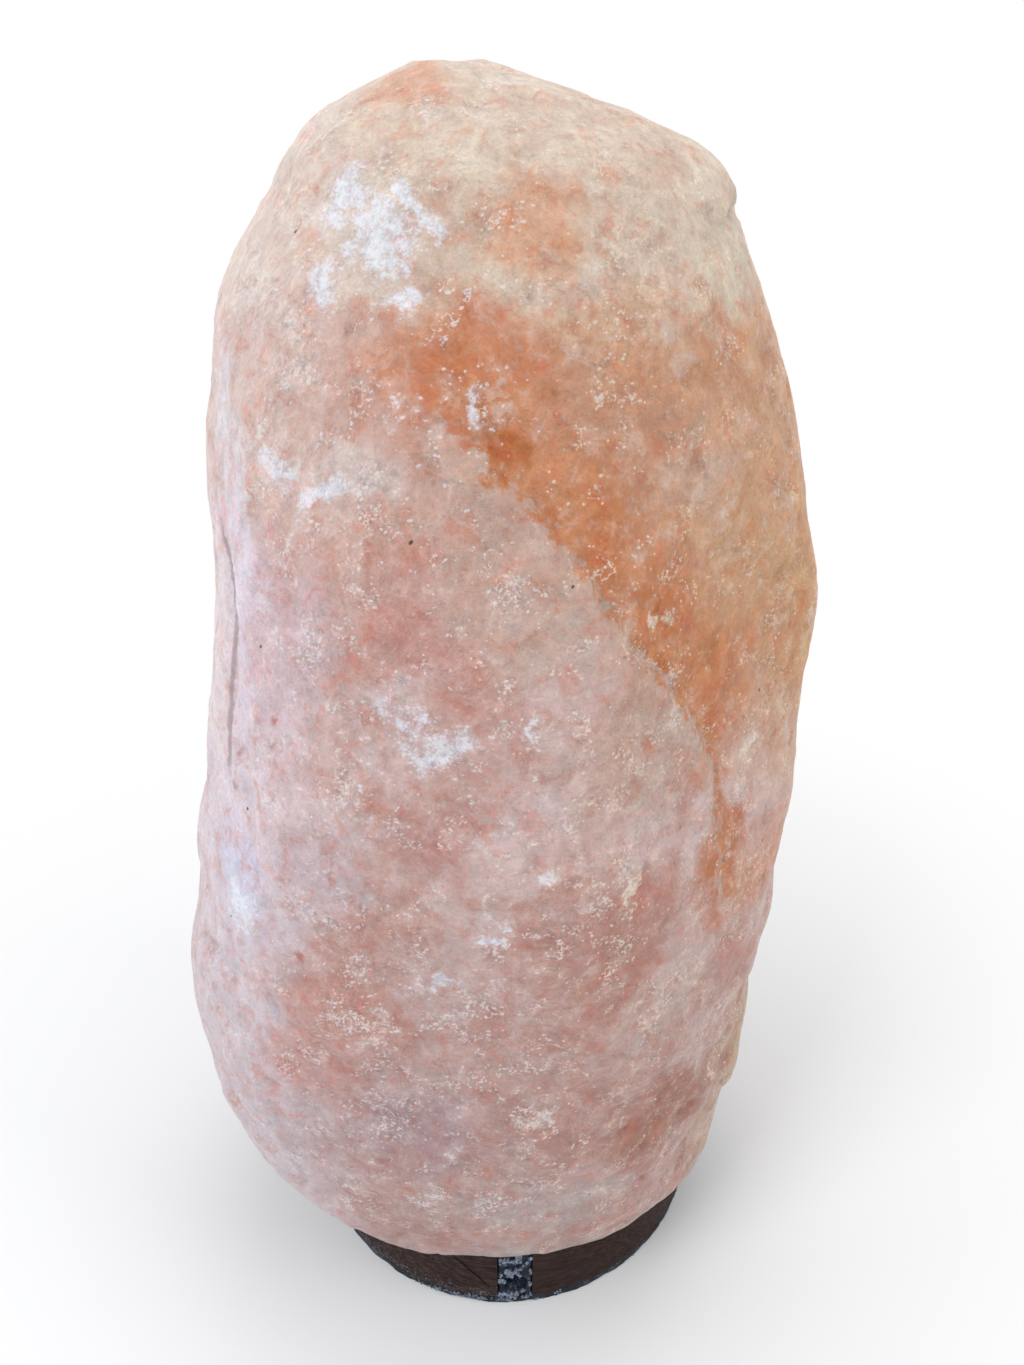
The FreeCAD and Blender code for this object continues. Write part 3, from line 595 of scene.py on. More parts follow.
# ================================================================ salt material
ZONES = (
    # centre, size, colour, share: what the photograph shows on the front, from the top down
    ((-17.0, -11.0, 302.0), (7.0, 9.0, 6.0), (0.70, 0.33, 0.19), 0.75),
    ((5.0, -37.0, 282.0), (10.0, 12.0, 8.0), (0.69, 0.37, 0.22), 0.85),
    ((44.0, -22.0, 275.0), (12.0, 12.0, 9.0), (0.70, 0.60, 0.46), 0.75),
    ((-31.0, -41.0, 259.0), (10.0, 12.0, 10.0), (0.63, 0.38, 0.31), 0.85),
    ((-9.0, -48.0, 257.0), (15.0, 14.0, 11.0), (0.63, 0.22, 0.09), 0.9),
    ((-12.0, -48.0, 259.0), (4.5, 12.0, 6.0), (0.56, 0.19, 0.09), 0.7),
    ((22.0, -50.0, 246.0), (17.0, 14.0, 14.0), (0.61, 0.31, 0.19), 0.8),
    ((16.0, -58.0, 233.0), (9.0, 14.0, 10.0), (0.57, 0.19, 0.05), 0.85),
    ((30.0, -56.0, 210.0), (10.0, 14.0, 19.0), (0.57, 0.17, 0.03), 0.9),
    ((44.0, -48.0, 196.0), (9.0, 14.0, 20.0), (0.60, 0.21, 0.06), 0.8),
    ((52.0, -38.0, 226.0), (14.0, 16.0, 26.0), (0.63, 0.36, 0.20), 0.8),
    ((38.0, -44.0, 240.0), (8.0, 12.0, 9.0), (0.68, 0.47, 0.36), 0.7),
    ((-30.0, -50.0, 241.0), (12.0, 12.0, 5.5), (0.72, 0.61, 0.58), 0.75),
    ((-54.0, -36.0, 222.0), (6.0, 12.0, 34.0), (0.80, 0.71, 0.84), 0.85),
    ((-57.0, -34.0, 247.0), (7.0, 12.0, 13.0), (0.80, 0.80, 0.92), 0.8),
    ((-44.0, -46.0, 206.0), (10.0, 14.0, 20.0), (0.69, 0.50, 0.54), 0.6),
    ((-14.0, -62.0, 216.0), (14.0, 14.0, 9.0), (0.60, 0.31, 0.26), 0.75),
    ((2.0, -62.0, 220.0), (15.0, 14.0, 12.0), (0.61, 0.43, 0.35), 0.7),
    ((24.0, -62.0, 188.0), (15.0, 14.0, 13.0), (0.56, 0.37, 0.29), 0.75),
    ((-60.0, -48.0, 148.0), (5.5, 12.0, 14.0), (0.64, 0.63, 0.80), 0.85),
    ((-42.0, -54.0, 160.0), (12.0, 14.0, 11.0), (0.67, 0.55, 0.60), 0.65),
    ((-18.0, -68.0, 172.0), (7.0, 14.0, 9.0), (0.56, 0.28, 0.24), 0.8),
    ((44.5, -52.0, 149.0), (6.5, 14.0, 13.0), (0.52, 0.14, 0.02), 0.9),
    ((20.0, -70.0, 146.0), (15.0, 14.0, 14.0), (0.47, 0.22, 0.17), 0.8),
    ((-42.0, -62.0, 124.0), (14.0, 14.0, 12.0), (0.59, 0.29, 0.23), 0.75),
    ((-46.0, -60.0, 104.0), (14.0, 14.0, 12.0), (0.61, 0.32, 0.28), 0.7),
    ((30.0, -66.0, 120.0), (14.0, 14.0, 9.0), (0.56, 0.41, 0.37), 0.7),
    ((-26.0, -68.0, 90.0), (18.0, 14.0, 14.0), (0.46, 0.32, 0.34), 0.7),
    ((36.0, -62.0, 84.0), (16.0, 14.0, 13.0), (0.38, 0.155, 0.10), 0.85),
    ((4.0, -70.0, 60.0), (26.0, 14.0, 9.0), (0.47, 0.39, 0.38), 0.6),
)
FROST = (
    ((-29, -32, 284), (6, 10, 5)), ((-23, -36, 277), (6, 9, 5)), ((-31, -36, 271), (4, 9, 5)),
    ((-19, -39, 269), (4, 9, 4)), ((-14, -36, 281), (5, 9, 3)), ((-37, -49, 238.5), (6, 10, 3.4)),
    ((-46, -44, 243), (5, 9, 3)), ((-54, -38, 250), (4, 9, 6)), ((-15, -66, 193), (6.0, 9, 5.0)),
    ((-20, -65, 200), (4.4, 9, 4.0)),
    ((-60, -51, 141), (3.4, 10, 8.0)), ((3, -68, 196.5), (1.4, 8, 4.0)), ((22, -70, 158), (1.5, 8, 5.0)),
    ((8, -73, 97), (2.2, 8, 4.0)), ((-6, -70, 150), (3.0, 8, 3.0)), ((-21, -67, 205), (2.4, 8, 4.6)),
    ((-6, -53, 251), (2.4, 8, 5.0)), ((29, -56, 212), (2.0, 8, 2.0)), ((-50, -45, 236), (4.0, 9, 5.0)),
    ((-16, -66, 134), (3.6, 9, 3.0)), ((6, -71, 166), (4.0, 9, 3.4)), ((42, -42, 246), (6, 9, 4.0)),
    ((44, -30, 279), (7, 9, 5.0)), ((54, -40, 176), (3.0, 9, 3.0)),
)
STAINS = (
    ((14.0, -59.0, 231.5), 0.7, (0.07, 0.03, 0.02)), ((-12.5, -47.5, 263.0), 0.5, (0.07, 0.03, 0.02)),
    ((-49.0, -50.0, 190.5), 1.1, (0.52, 0.16, 0.10)), ((-47.0, -61.0, 137.0), 1.2, (0.52, 0.16, 0.10)),
    ((-61.0, -43.0, 169.5), 1.4, (0.24, 0.23, 0.20)),
)
SALT_IOR = 1.54
GLINTS = (
    # painted glints' cells: size in mm, turn in degrees, stretch
    (0.95, (14.0, 38.0, 0.0), 1.8), (0.75, (0.0, -48.0, 10.0), 1.5), (1.25, (30.0, 75.0, 5.0), 2.0),
)
FLAKE_END = ((46.5, 144.0), (51.0, 132.0))


def traced(n, value, line):
    """The second coordinate of a line, in metres, where its first one is value."""
    low, bottom = (min(axis) for axis in zip(*line))
    high, top = (max(axis) for axis in zip(*line))
    curve = n.new("FloatCurve")
    n.link(n.math("DIVIDE", value - low, high - low, clamp=True), curve.inputs["Value"])
    points = curve.mapping.curves[0].points
    for index, (first, second) in enumerate(line):
        spot = (first - low) / (high - low), (second - bottom) / (top - bottom)
        point = points[index] if index < 2 else points.new(*spot)
        point.location = spot
        point.handle_type = "VECTOR"
    curve.mapping.update()
    return Value(n, curve.outputs[0]) * (top - bottom) + bottom


def beyond_flake_edge(n, shake):
    """Height over the flake's edge, and how much of it counts on the front."""
    x, y, z = n.split(n.place)
    line = [(px * MM, pz * MM) for px, pz in FLAKE_EDGE + FLAKE_END]
    height = traced(n, x + shake, line)
    over = z - height + shake * 0.7
    front = n.step(y, -0.018, -0.034)
    fade = n.step(x, -0.022, -0.008) * n.step(z, 0.126, 0.146)
    return over, front * fade


def behind_crease(n, shake):
    """Distance behind the crease's lip on the left, and how much of it counts."""
    bearing, level, _ = np.array(CREASE)[::-1].T
    spots = rock_surface(np.radians(bearing), level)
    x, y, z = n.split(n.place)
    lip = traced(n, z, [(spot[2] * MM, spot[0] * MM) for spot in spots])
    along = n.step(z, 0.166, 0.174) * n.step(z, 0.227, 0.219)
    return lip + shake - x, along * n.step(y, -0.002, -0.012)


def salt_material(name):
    n = material_nodes(name)
    n.wobbled = n.shaken(14.0, 0.030, 5.0, 0.62)

    x, y, z = n.split(n.wobbled)
    cloud = n.noise(21.0, 5.0, 0.6, warp=0.5)
    flow = n.noise(8.0, 6.0, 0.66, warp=0.6)
    grain = n.noise(2.2, 6.0, 0.74)
    fine = n.noise(0.62, 3.0, 0.75)
    drift = n.noise(4.0, 4.0, 0.62) - 0.5

    # broad zones: pink body darker towards the bottom, partly painted shade; tan right, lilac left and
    # cream top, partly painted side and top light
    lower = n.step(z, 0.190, 0.080)
    light = n.mix(lower, (0.70, 0.53, 0.51), (0.55, 0.365, 0.335))
    deep = n.mix(lower, (0.60, 0.345, 0.295), (0.46, 0.245, 0.21))
    colour = n.mix(n.step(cloud, 0.38, 0.62), deep, light)
    # tan on the right: partly the stone's colour, partly painted warm light from the right
    tan = n.mix(n.step(flow, 0.36, 0.64), (0.61, 0.275, 0.105), (0.66, 0.40, 0.20))
    rightness = n.step(x + z * 0.75, 0.165, 0.215)
    colour = n.mix(rightness * n.step(z, 0.09, 0.17, 0.45, 1.0), colour, tan)
    # lilac on the left: partly the stone's colour, partly painted cool light from the left
    lilac = n.mix(lower, (0.80, 0.70, 0.79), (0.66, 0.57, 0.62))
    frontness = n.step(y, 0.004, -0.032, 0.42, 0.85)
    colour = n.mix(n.step(x, -0.032, -0.062) * frontness, colour, lilac)
    band = n.step(z, 0.214, 0.236) * n.step(z, 0.275, 0.262)
    colour = n.mix(band * 0.55, colour, (0.62, 0.32, 0.20))
    # cream top: partly the stone's colour, partly painted light from above
    cream = n.mix(n.step(flow, 0.34, 0.66), (0.70, 0.53, 0.42), (0.71, 0.61, 0.50))
    colour = n.mix(n.step(z, 0.259, 0.273, 0.0, 0.94), colour, cream)
    amber = n.step(x, 0.040, 0.062) * n.step(z, 0.120, 0.085) * n.step(y, 0.004, -0.026, 0.15, 1.0)
    colour = n.mix(amber, colour, (0.50, 0.345, 0.235))
    # greyer, darker band at the rock's foot: partly painted shade where the rock meets the base
    colour = n.mix(n.step(z, 0.046, 0.030, 0.0, 0.7), colour, (0.40, 0.35, 0.33))
    for centre, size, tone, share in ZONES:
        colour = n.mix(n.spot(centre, size, 0.5) * share, colour, tone)

    # the flake: a beige-pink band below its edge, honey-coloured stone beyond it
    over, where = beyond_flake_edge(n, drift * 0.010)
    below = n.step(over, -0.020, -0.004) * n.step(over, 0.0006, -0.0004)
    colour = n.mix(below * where * 0.62, colour, (0.60, 0.43, 0.355))
    honey = n.mix(n.step(flow, 0.36, 0.60), (0.60, 0.18, 0.035), (0.62, 0.26, 0.11))
    beyond = n.step(over, -0.0004, 0.0007) * n.step(over, 0.030, 0.006)
    colour = n.mix(beyond * where * 0.82, colour, honey)
    window = n.spot((-1.5, -54.0, 246.5), (3.4, 12.0, 6.0), 0.25)
    colour = n.mix(window * 0.9, colour, (0.53, 0.17, 0.03))

    # the crease on the left: paler stone on the lobe behind it
    behind, beside = behind_crease(n, drift * 0.0016)
    lobe = n.step(behind, 0.0004, 0.0012) * beside * 0.6
    colour = n.mix(lobe, colour, (0.82, 0.70, 0.70))

    # cloudy veins, rusty stains and, on the upper left, leaning strands
    veins = n.step(n.noise(5.5, 6.0, 0.68, warp=0.7), 0.54, 0.72, 0.0, 0.45)
    colour = n.mix(veins, colour, (0.75, 0.64, 0.62))
    rusty = n.step(n.noise(6.5, 6.0, 0.68, warp=0.6), 0.53, 0.70, 0.0, 0.50)
    colour = n.mix(rusty, colour, (0.56, 0.23, 0.16))
    strands = n.noise(1.1, 4.0, 0.70, place=n.stretched((1.0, 1.0, 4.5), (8.0, 24.0, 0.0)))
    striped = n.step(x, -0.022, -0.040) * n.step(z, 0.215, 0.245)
    stripe = n.mix(n.step(strands, 0.34, 0.66), (0.77, 0.57, 0.50), (0.84, 0.74, 0.71))
    colour = n.mix(striped * 0.55, colour, stripe)

    # redder and paler crystals side by side
    mottle = n.noise(5.0, 6.0, 0.70, warp=0.5)
    redder = n.mix(1.0, colour, (1.0, 0.72, 0.64), "MULTIPLY")
    colour = n.mix(n.step(mottle, 0.51, 0.64, 0.0, 0.80), colour, redder)
    paler = n.mix(0.5, colour, (0.88, 0.76, 0.72))
    colour = n.mix(n.step(mottle, 0.48, 0.34, 0.0, 0.45), colour, paler)

    # frosted places where the crystals are crushed, ragged at their edges
    ragged = grain * 0.7 + fine * 0.5 - 0.6
    haze = n.step(n.noise(9.0, 6.0, 0.72, warp=0.4), 0.50, 0.70, 0.0, 0.80)
    haze = haze * (1.0 - rightness * 0.6)
    crushed = 0.0
    for centre, size in FROST:
        crushed = n.math("MAXIMUM", crushed, n.spot(centre, size, 0.62))
    bluer = crushed * n.step(x, 0.024, -0.010)
    haze = n.math("MAXIMUM", haze, crushed)
    frost = n.step(haze * 0.5 + ragged * 1.3, 0.27, 0.60)
    # frost tints warmer on the right and bluer on the left: partly painted warm and cool side light
    pale = n.mix(n.step(x, 0.020, -0.020), (0.74, 0.57, 0.43), (0.80, 0.68, 0.66))
    colour = n.mix(haze * 0.40, colour, n.mix(bluer, pale, (0.78, 0.76, 0.84)))
    white = n.mix(n.step(x, 0.024, -0.010), (0.86, 0.76, 0.66), (0.87, 0.80, 0.82))
    colour = n.mix(frost * 0.70, colour, n.mix(bluer, white, (0.84, 0.90, 1.0)))

    # painted glints: short bright dashes in loose clusters, light caught by broken crystal edges
    crowd = n.noise(8.5, 5.0, 0.66, warp=0.4)
    crowded = n.step(crowd, 0.50, 0.65, 0.0, 0.88) * (1.0 - rightness * 0.35)
    crowded = n.math("MAXIMUM", crowded, haze * 0.52)
    glint = 0.0
    for size, turn, reach in GLINTS:
        distance, tint = n.cells(size, n.stretched((1.0, 1.0, reach), turn))
        pick = n.split(tint)[1]
        shape = distance + fine * 0.28
        lit = n.step(shape, 0.48, 0.28) * n.step(pick + crowded, 0.97, 1.03)
        glint = n.math("MAXIMUM", glint, lit)
    # painted highlights: thin bright curls where crystal faces meet
    ridge = n.math("ABSOLUTE", n.noise(1.7, 2.0, 0.5) - 0.5)
    highlight_curl = n.step(ridge, 0.040, 0.012) * n.step(n.noise(2.6, 2.0, 0.5), 0.48, 0.56)
    highlight_curl = highlight_curl * n.step(crowded, 0.18, 0.55)
    glint = n.math("MAXIMUM", glint, highlight_curl)

    # tone varies at every size
    rougher = (grain - 0.5) * n.step(crowd, 0.44, 0.60, 0.55, 1.15)
    tone = 1.03 + (flow - 0.5) * 0.60 + rougher + (fine - 0.5) * 0.50
    colour = n.vector("SCALE", colour, tone)
    # painted glints laid over the toned colour, cream on the right and white-lilac on the left
    bright = n.mix(n.step(x, 0.026, -0.010), (0.95, 0.82, 0.70), (0.95, 0.90, 0.91))
    colour = n.mix(glint * 0.74, colour, bright)

    # black and rust specks
    distance, tint = n.cells(6.5, n.stretched((1.0, 1.0, 1.6), (0.0, 40.0, 0.0)))
    pick = n.split(tint)[0]
    speck = n.step(distance, 0.064, 0.040) * n.step(pick, 0.80, 0.82)
    colour = n.mix(speck, colour, (0.10, 0.05, 0.03))
    rust = n.step(distance - drift * 0.5, 0.20, 0.04) * n.step(pick, 0.20, 0.16)
    colour = n.mix(rust * 0.40, colour, (0.55, 0.17, 0.09))
    for centre, size, tint in STAINS:
        gap = n.vector("DISTANCE", n.place, tuple(c * MM for c in centre))
        gap = gap + (grain - 0.5) * (size * 3.0 * MM)
        colour = n.mix(n.step(gap, size * 1.6 * MM, size * 0.5 * MM, 0.0, 0.8), colour, tint)

    # painted shade along the crease's lip
    crease_shade = n.step(n.math("ABSOLUTE", behind - 0.0003), 0.0009, 0.0002)
    colour = n.mix(crease_shade * beside * 0.6, colour, (0.30, 0.20, 0.18))

    # surface: worn crystal grain with small glassy faces turned each its own way
    facets = n.vector("SUBTRACT", n.cells(0.9)[1], (0.5, 0.5, 0.5))
    geometry = n.new("NewGeometry")
    tilted = n.vector("SCALE", facets, n.step(crowd, 0.42, 0.66, 0.22, 0.80))
    tilted = n.vector("NORMALIZE", n.vector("ADD", geometry.outputs["Normal"], tilted))
    relief = grain * 0.9 + fine * 0.28 + flow * 0.6 + strands * striped * 0.5
    rough = n.step(flow, 0.35, 0.7, 0.34, 0.54) - glint * 0.18
    rough = n.math("ADD", rough, frost * 0.12, clamp=True)
    n.set(Base_Color=colour, Normal=n.bump(relief, 1.5, 0.9, tilted), Roughness=rough, IOR=SALT_IOR)
    n.set(Subsurface_Weight=0.4, Subsurface_Radius=(1.0, 0.42, 0.25), Subsurface_Scale=0.004)
    return n.material


# ================================================================ other materials
def wood_material(name):
    n = material_nodes(name)
    x, y, z = n.split(n.shaken(26.0, 0.012, 2.0, 0.5))
    across = y - 0.030
    below = z + 0.052
    ring = n.math("SQRT", across * across + below * below)
    band = n.math("SINE", ring * 2600.0)
    fine = n.noise(0.75, 5.0, 0.62, place=n.stretched((16.0, 1.0, 1.0), (0.0, 3.0, 2.0)))
    pores = n.noise(0.42, 3.0, 0.7, place=n.stretched((11.0, 1.0, 1.0), (0.0, 3.0, 2.0)))
    stain = n.noise(19.0, 4.0, 0.6)
    side = n.step(x, -0.012, 0.020)
    dark = n.mix(side, (0.014, 0.007, 0.006), (0.009, 0.003, 0.001))
    light = n.mix(side, (0.060, 0.030, 0.025), (0.045, 0.015, 0.007))
    colour = n.mix(n.step(fine, 0.34, 0.68), dark, light)
    colour = n.mix(n.step(band, -0.2, 1.0, 0.0, 0.55), colour, dark)
    colour = n.mix(n.step(stain, 0.40, 0.68, 0.0, 0.5), colour, (0.026, 0.014, 0.013))
    colour = n.mix(n.step(pores, 0.60, 0.72, 0.0, 0.8), colour, (0.012, 0.006, 0.005))
    # salt dust along the foot, left of the slot
    grit = n.noise(0.7, 4.0, 0.75)
    low = n.step(n.split(n.place)[2], 0.011, 0.0035)
    left = n.step(n.split(n.place)[0], 0.010, -0.004)
    dust = n.step(grit + low * (left * 0.13), 0.66, 0.76)
    colour = n.mix(dust * 0.5, colour, (0.36, 0.36, 0.40))
    relief = fine * 0.6 + (1.0 - pores) * 0.4
    n.set(Base_Color=colour, Roughness=n.step(fine, 0.3, 0.7, 0.62, 0.44), Normal=n.bump(relief, 0.35, 0.8))
    n.set(IOR=1.45, Specular_IOR_Level=0.12)
    return n.material


def rubber_material(name, tone, dusty):
    n = material_nodes(name)
    grit = n.noise(0.6, 5.0, 0.72)
    cloud = n.noise(4.0, 4.0, 0.6)
    colour = n.mix(n.step(cloud, 0.35, 0.7), tone, tuple(c * 2.6 + 0.004 for c in tone))
    dust = n.step(grit * 0.7 + cloud * 0.4, 0.58, 0.70)
    colour = n.mix(dust * dusty, colour, (0.27, 0.33, 0.42))
    n.set(Base_Color=colour, Roughness=n.step(grit, 0.3, 0.7, 0.5, 0.78), Specular_IOR_Level=0.25)
    n.set(Normal=n.bump(grit + cloud * 0.6, 0.4, 0.8))
    return n.material


def crust_material(name):
    n = material_nodes(name)
    cloud = n.noise(0.9, 3.0, 0.6)
    n.set(Base_Color=n.mix(n.step(cloud, 0.3, 0.7), (0.035, 0.055, 0.10), (0.25, 0.30, 0.38)))
    n.set(Roughness=n.step(cloud, 0.3, 0.7, 0.16, 0.40), Normal=n.bump(n.noise(0.25, 2.0), 0.06, 0.6))
    n.set(IOR=SALT_IOR, Subsurface_Weight=0.3, Subsurface_Radius=(1.0, 1.0, 1.0), Subsurface_Scale=0.0006)
    return n.material


def metal_material(name, tone, dull, rough, brushed=(1.0, 1.0, 1.0), tarnish=(0.30, 0.26, 0.22)):
    """Metal with brush lines, cloudy wear and a little tarnish."""
    n = material_nodes(name)
    lines = n.noise(0.35, 3.0, 0.6, place=n.stretched(brushed))
    cloud = n.noise(5.0, 4.0, 0.6)
    colour = n.mix(n.step(cloud, 0.35, 0.7), tone, dull)
    colour = n.mix(n.step(lines, 0.35, 0.75, 0.0, 0.35), colour, tuple(min(1.0, c * 1.25) for c in tone))
    colour = n.mix(n.step(n.noise(2.2, 5.0, 0.7), 0.60, 0.78, 0.0, 0.55), colour, tarnish)
    n.set(Base_Color=colour, Metallic=1.0)
    n.set(Roughness=n.step(cloud, 0.3, 0.7, rough, rough + 0.14) + lines * 0.10)
    n.set(Normal=n.bump(lines, 0.04, 0.5))
    return n.material


def moulded_material(name, tone, rough, through=0.0):
    """Moulded plastic, ceramic or nylon: faint clouding, fine skin grain."""
    n = material_nodes(name)
    cloud = n.noise(6.0, 4.0, 0.6)
    skin = n.noise(0.30, 3.0, 0.6)
    n.set(Base_Color=n.mix(n.step(cloud, 0.3, 0.7), tone, tuple(min(1.0, c * 1.18 + 0.006) for c in tone)))
    n.set(Roughness=n.step(cloud, 0.3, 0.7, rough, rough + 0.10) + skin * 0.08)
    n.set(Normal=n.bump(skin, 0.03, 0.5))
    if through:
        n.set(Subsurface_Weight=through, Subsurface_Radius=(1.0, 0.9, 0.8), Subsurface_Scale=0.0015)
    return n.material


def glass_material(name, tone, rough):
    n = material_nodes(name)
    cloud = n.noise(7.0, 3.0)
    n.set(Base_Color=n.mix(n.step(cloud, 0.3, 0.7), tone, tuple(c * 0.97 for c in tone)))
    n.set(Roughness=n.step(n.noise(3.0, 4.0, 0.7), 0.45, 0.8, rough, rough + 0.05))
    n.set(Normal=n.bump(n.noise(9.0, 2.0), 0.02, 0.4))
    n.set(Transmission_Weight=1.0, IOR=1.50)
    return n.material


# name, what makes it, colours and settings
looks = {name: build(name, *settings) for name, build, *settings in (
    ("salt", salt_material),
    ("stained_wood", wood_material),
    ("pad_rubber", rubber_material, (0.008, 0.010, 0.014), 0.35),
    ("grommet_rubber", rubber_material, (0.006, 0.010, 0.019), 0.75),
    ("salt_crust", crust_material),
    ("zinc_steel", metal_material, (0.62, 0.62, 0.60), (0.50, 0.50, 0.49), 0.26),
    ("plated_steel", metal_material, (0.66, 0.66, 0.65), (0.55, 0.55, 0.54), 0.30, (14.0, 1.0, 1.0)),
    ("spring_steel", metal_material, (0.56, 0.56, 0.58), (0.44, 0.44, 0.47), 0.24, (1.0, 1.0, 9.0),
     (0.24, 0.21, 0.22)),
    ("plated_brass", metal_material, (0.74, 0.71, 0.63), (0.62, 0.59, 0.50), 0.22, (1.0, 1.0, 0.3)),
    ("brass", metal_material, (0.80, 0.60, 0.27), (0.66, 0.47, 0.20), 0.26),
    ("solder", metal_material, (0.55, 0.55, 0.56), (0.40, 0.40, 0.42), 0.38),
    ("lead_wire", metal_material, (0.50, 0.46, 0.42), (0.40, 0.36, 0.32), 0.34),
    ("tungsten", metal_material, (0.24, 0.24, 0.25), (0.17, 0.17, 0.18), 0.42),
    ("holder_plastic", moulded_material, (0.022, 0.022, 0.023), 0.34),
    ("ceramic_insert", moulded_material, (0.80, 0.78, 0.71), 0.48),
    ("nylon", moulded_material, (0.70, 0.70, 0.66), 0.40, 0.25),
    ("black_glass", moulded_material, (0.012, 0.012, 0.018), 0.10),
    ("clear_glass", glass_material, (0.98, 0.99, 0.99), 0.0),
    ("stem_glass", glass_material, (0.93, 0.96, 0.95), 0.03),
)}

# CAD nodes that are shown as they are
for node, slot in (("mount_plate", "plated_steel"), ("socket_insert", "ceramic_insert"),
                   ("centre_contact", "brass"), ("terminal_blocks", "brass"),
                   ("terminal_screws", "zinc_steel"), ("clip_feet", "spring_steel"),
                   ("spring_clip_1", "spring_steel"), ("spring_clip_2", "spring_steel"),
                   ("spring_clip_3", "spring_steel")):
    for material_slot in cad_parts[node].material_slots:
        material_slot.material = looks[slot]


# ================================================================ shapes used again
def arc(centre_r, centre_z, radius, start, end, steps):
    """Corner of a profile as points of an arc, angles in degrees."""
    points = []
    for index in range(steps + 1):
        angle = math.radians(start + (end - start) * index / steps)
        points.append((centre_r + radius * math.cos(angle), centre_z + radius * math.sin(angle)))
    return points


def upright(low, high, rows, radius):
    """Straight part of a profile in many small steps."""
    return [(radius, low + (high - low) * index / rows) for index in range(rows + 1)]


def shaped(shape, change):
    """A turned shape with its radius changed by change(angle, radius, height)."""
    verts, faces = shape
    out = []
    for x, y, z in verts:
        angle = math.atan2(y, x)
        out.append(ring_point(angle, change(angle, math.hypot(x, y), z), z))
    return out, faces


def solid_turned(profile, sides):
    """Turned shape whose profile starts and ends on the axis."""
    rows = len(profile) - 2
    verts = [(0.0, 0.0, profile[0][1]), (0.0, 0.0, profile[-1][1])]
    faces = []
    for index in range(sides):
        angle = 2 * math.pi * index / sides
        verts += [ring_point(angle, radius, height) for radius, height in profile[1:-1]]
        a = 2 + index * rows
        b = 2 + ((index + 1) % sides) * rows
        faces += [(0, b, a), (1, a + rows - 1, b + rows - 1)]
        faces += [(a + row, b + row, b + row + 1, a + row + 1) for row in range(rows - 1)]
    return verts, faces


def box_shape(low, high):
    """A box between two corners."""
    (x0, y0, z0), (x1, y1, z1) = low, high
    verts = [(x0, y0, z0), (x1, y0, z0), (x1, y1, z0), (x0, y1, z0),
             (x0, y0, z1), (x1, y0, z1), (x1, y1, z1), (x0, y1, z1)]
    return verts, [(0, 3, 2, 1), (4, 5, 6, 7), (0, 1, 5, 4), (1, 2, 6, 5), (2, 3, 7, 6), (3, 0, 4, 7)]


def ends(last, sides):
    """The two faces that close a run of rings, whose last ring starts at this number."""
    return [tuple(reversed(range(sides))), tuple(range(last, last + sides))]


def bar_shape(radius, low, high, sides=40):
    """A round bar round the Z axis."""
    verts = [ring_point(2 * math.pi * index / sides, radius, height)
             for height in (low, high) for index in range(sides)]
    return verts, ends(sides, sides) + ring_faces(0, sides, sides)


def pipe(points, radius, sides):
    """Round wire along points, closed at both ends."""
    points = [Vector(p) for p in points]
    last = len(points) - 1
    verts = []
    faces = []
    side = None
    for index, point in enumerate(points):
        ahead = points[min(index + 1, last)] - points[max(index - 1, 0)]
        ahead.normalize()
        if side is None:
            side = ahead.orthogonal().normalized()
        side = (side - ahead * side.dot(ahead)).normalized()
        other = ahead.cross(side)
        for step in range(sides):
            angle = 2 * math.pi * step / sides
            verts.append(tuple(point + (side * math.cos(angle) + other * math.sin(angle)) * radius))
    for index in range(last):
        faces += ring_faces(index * sides, (index + 1) * sides, sides)
    return verts, faces + ends(last * sides, sides)


def smooth_line(points, steps):
    """Catmull-Rom line through the points."""
    points = [Vector(p) for p in points]
    points = [points[0] * 2 - points[1]] + points + [points[-1] * 2 - points[-2]]
    out = []
    for index in range(1, len(points) - 2):
        p0, p1, p2, p3 = points[index - 1:index + 3]
        for step in range(steps):
            t = step / steps
            out.append(0.5 * ((2 * p1) + (p2 - p0) * t + (2 * p0 - 5 * p1 + 4 * p2 - p3) * t * t
                              + (3 * p1 - 3 * p2 + p3 - p0) * t ** 3))
    out.append(points[-2])
    return out


def three_places(radius, spin=0.0):
    """Where screws or rivets stand round the axis, each turned by spin times its bearing."""
    places = []
    for bearing in (90.0, 210.0, 330.0):
        angle = math.radians(bearing)
        turn = Matrix.Rotation(angle * spin, 4, "Z")
        places.append(Matrix.Translation(ring_point(angle, radius, 0.0)) @ turn)
    return places


def rebuild(piece):
    """The piece gets the mesh that its modifiers make."""
    graph = bpy.context.evaluated_depsgraph_get()
    result = bpy.data.meshes.new_from_object(piece.evaluated_get(graph))
    piece.modifiers.clear()
    old = piece.data
    piece.data = result
    bpy.data.meshes.remove(old)


def carve(piece, shapes, operation="DIFFERENCE"):
    """Cuts closed shapes out of a piece, or adds them where the operation is UNION."""
    for shape in shapes:
        mesh = bare_mesh("tool", *shape)
        tool = bpy.data.objects.new("tool", mesh)
        scene.collection.objects.link(tool)
        tidy_normals(tool)
        modifier = piece.modifiers.new("carve", "BOOLEAN")
        modifier.operation = operation
        modifier.solver = "EXACT"
        modifier.object = tool
        rebuild(piece)
        bpy.data.objects.remove(tool)
        bpy.data.meshes.remove(mesh)


# ================================================================ wooden base
SCREW_CIRCLE = 41.0
INLET_RADIUS = 3.4
INLET_HEIGHT = 8.5
CRACK = ((-18.5, -54.9, 21.5), (-16.4, -55.6, 18.9), (-14.6, -56.1, 17.2), (-12.4, -56.7, 14.2),
         (-10.3, -57.1, 12.1), (-8.6, -57.4, 9.4), (-7.0, -57.6, 7.4))


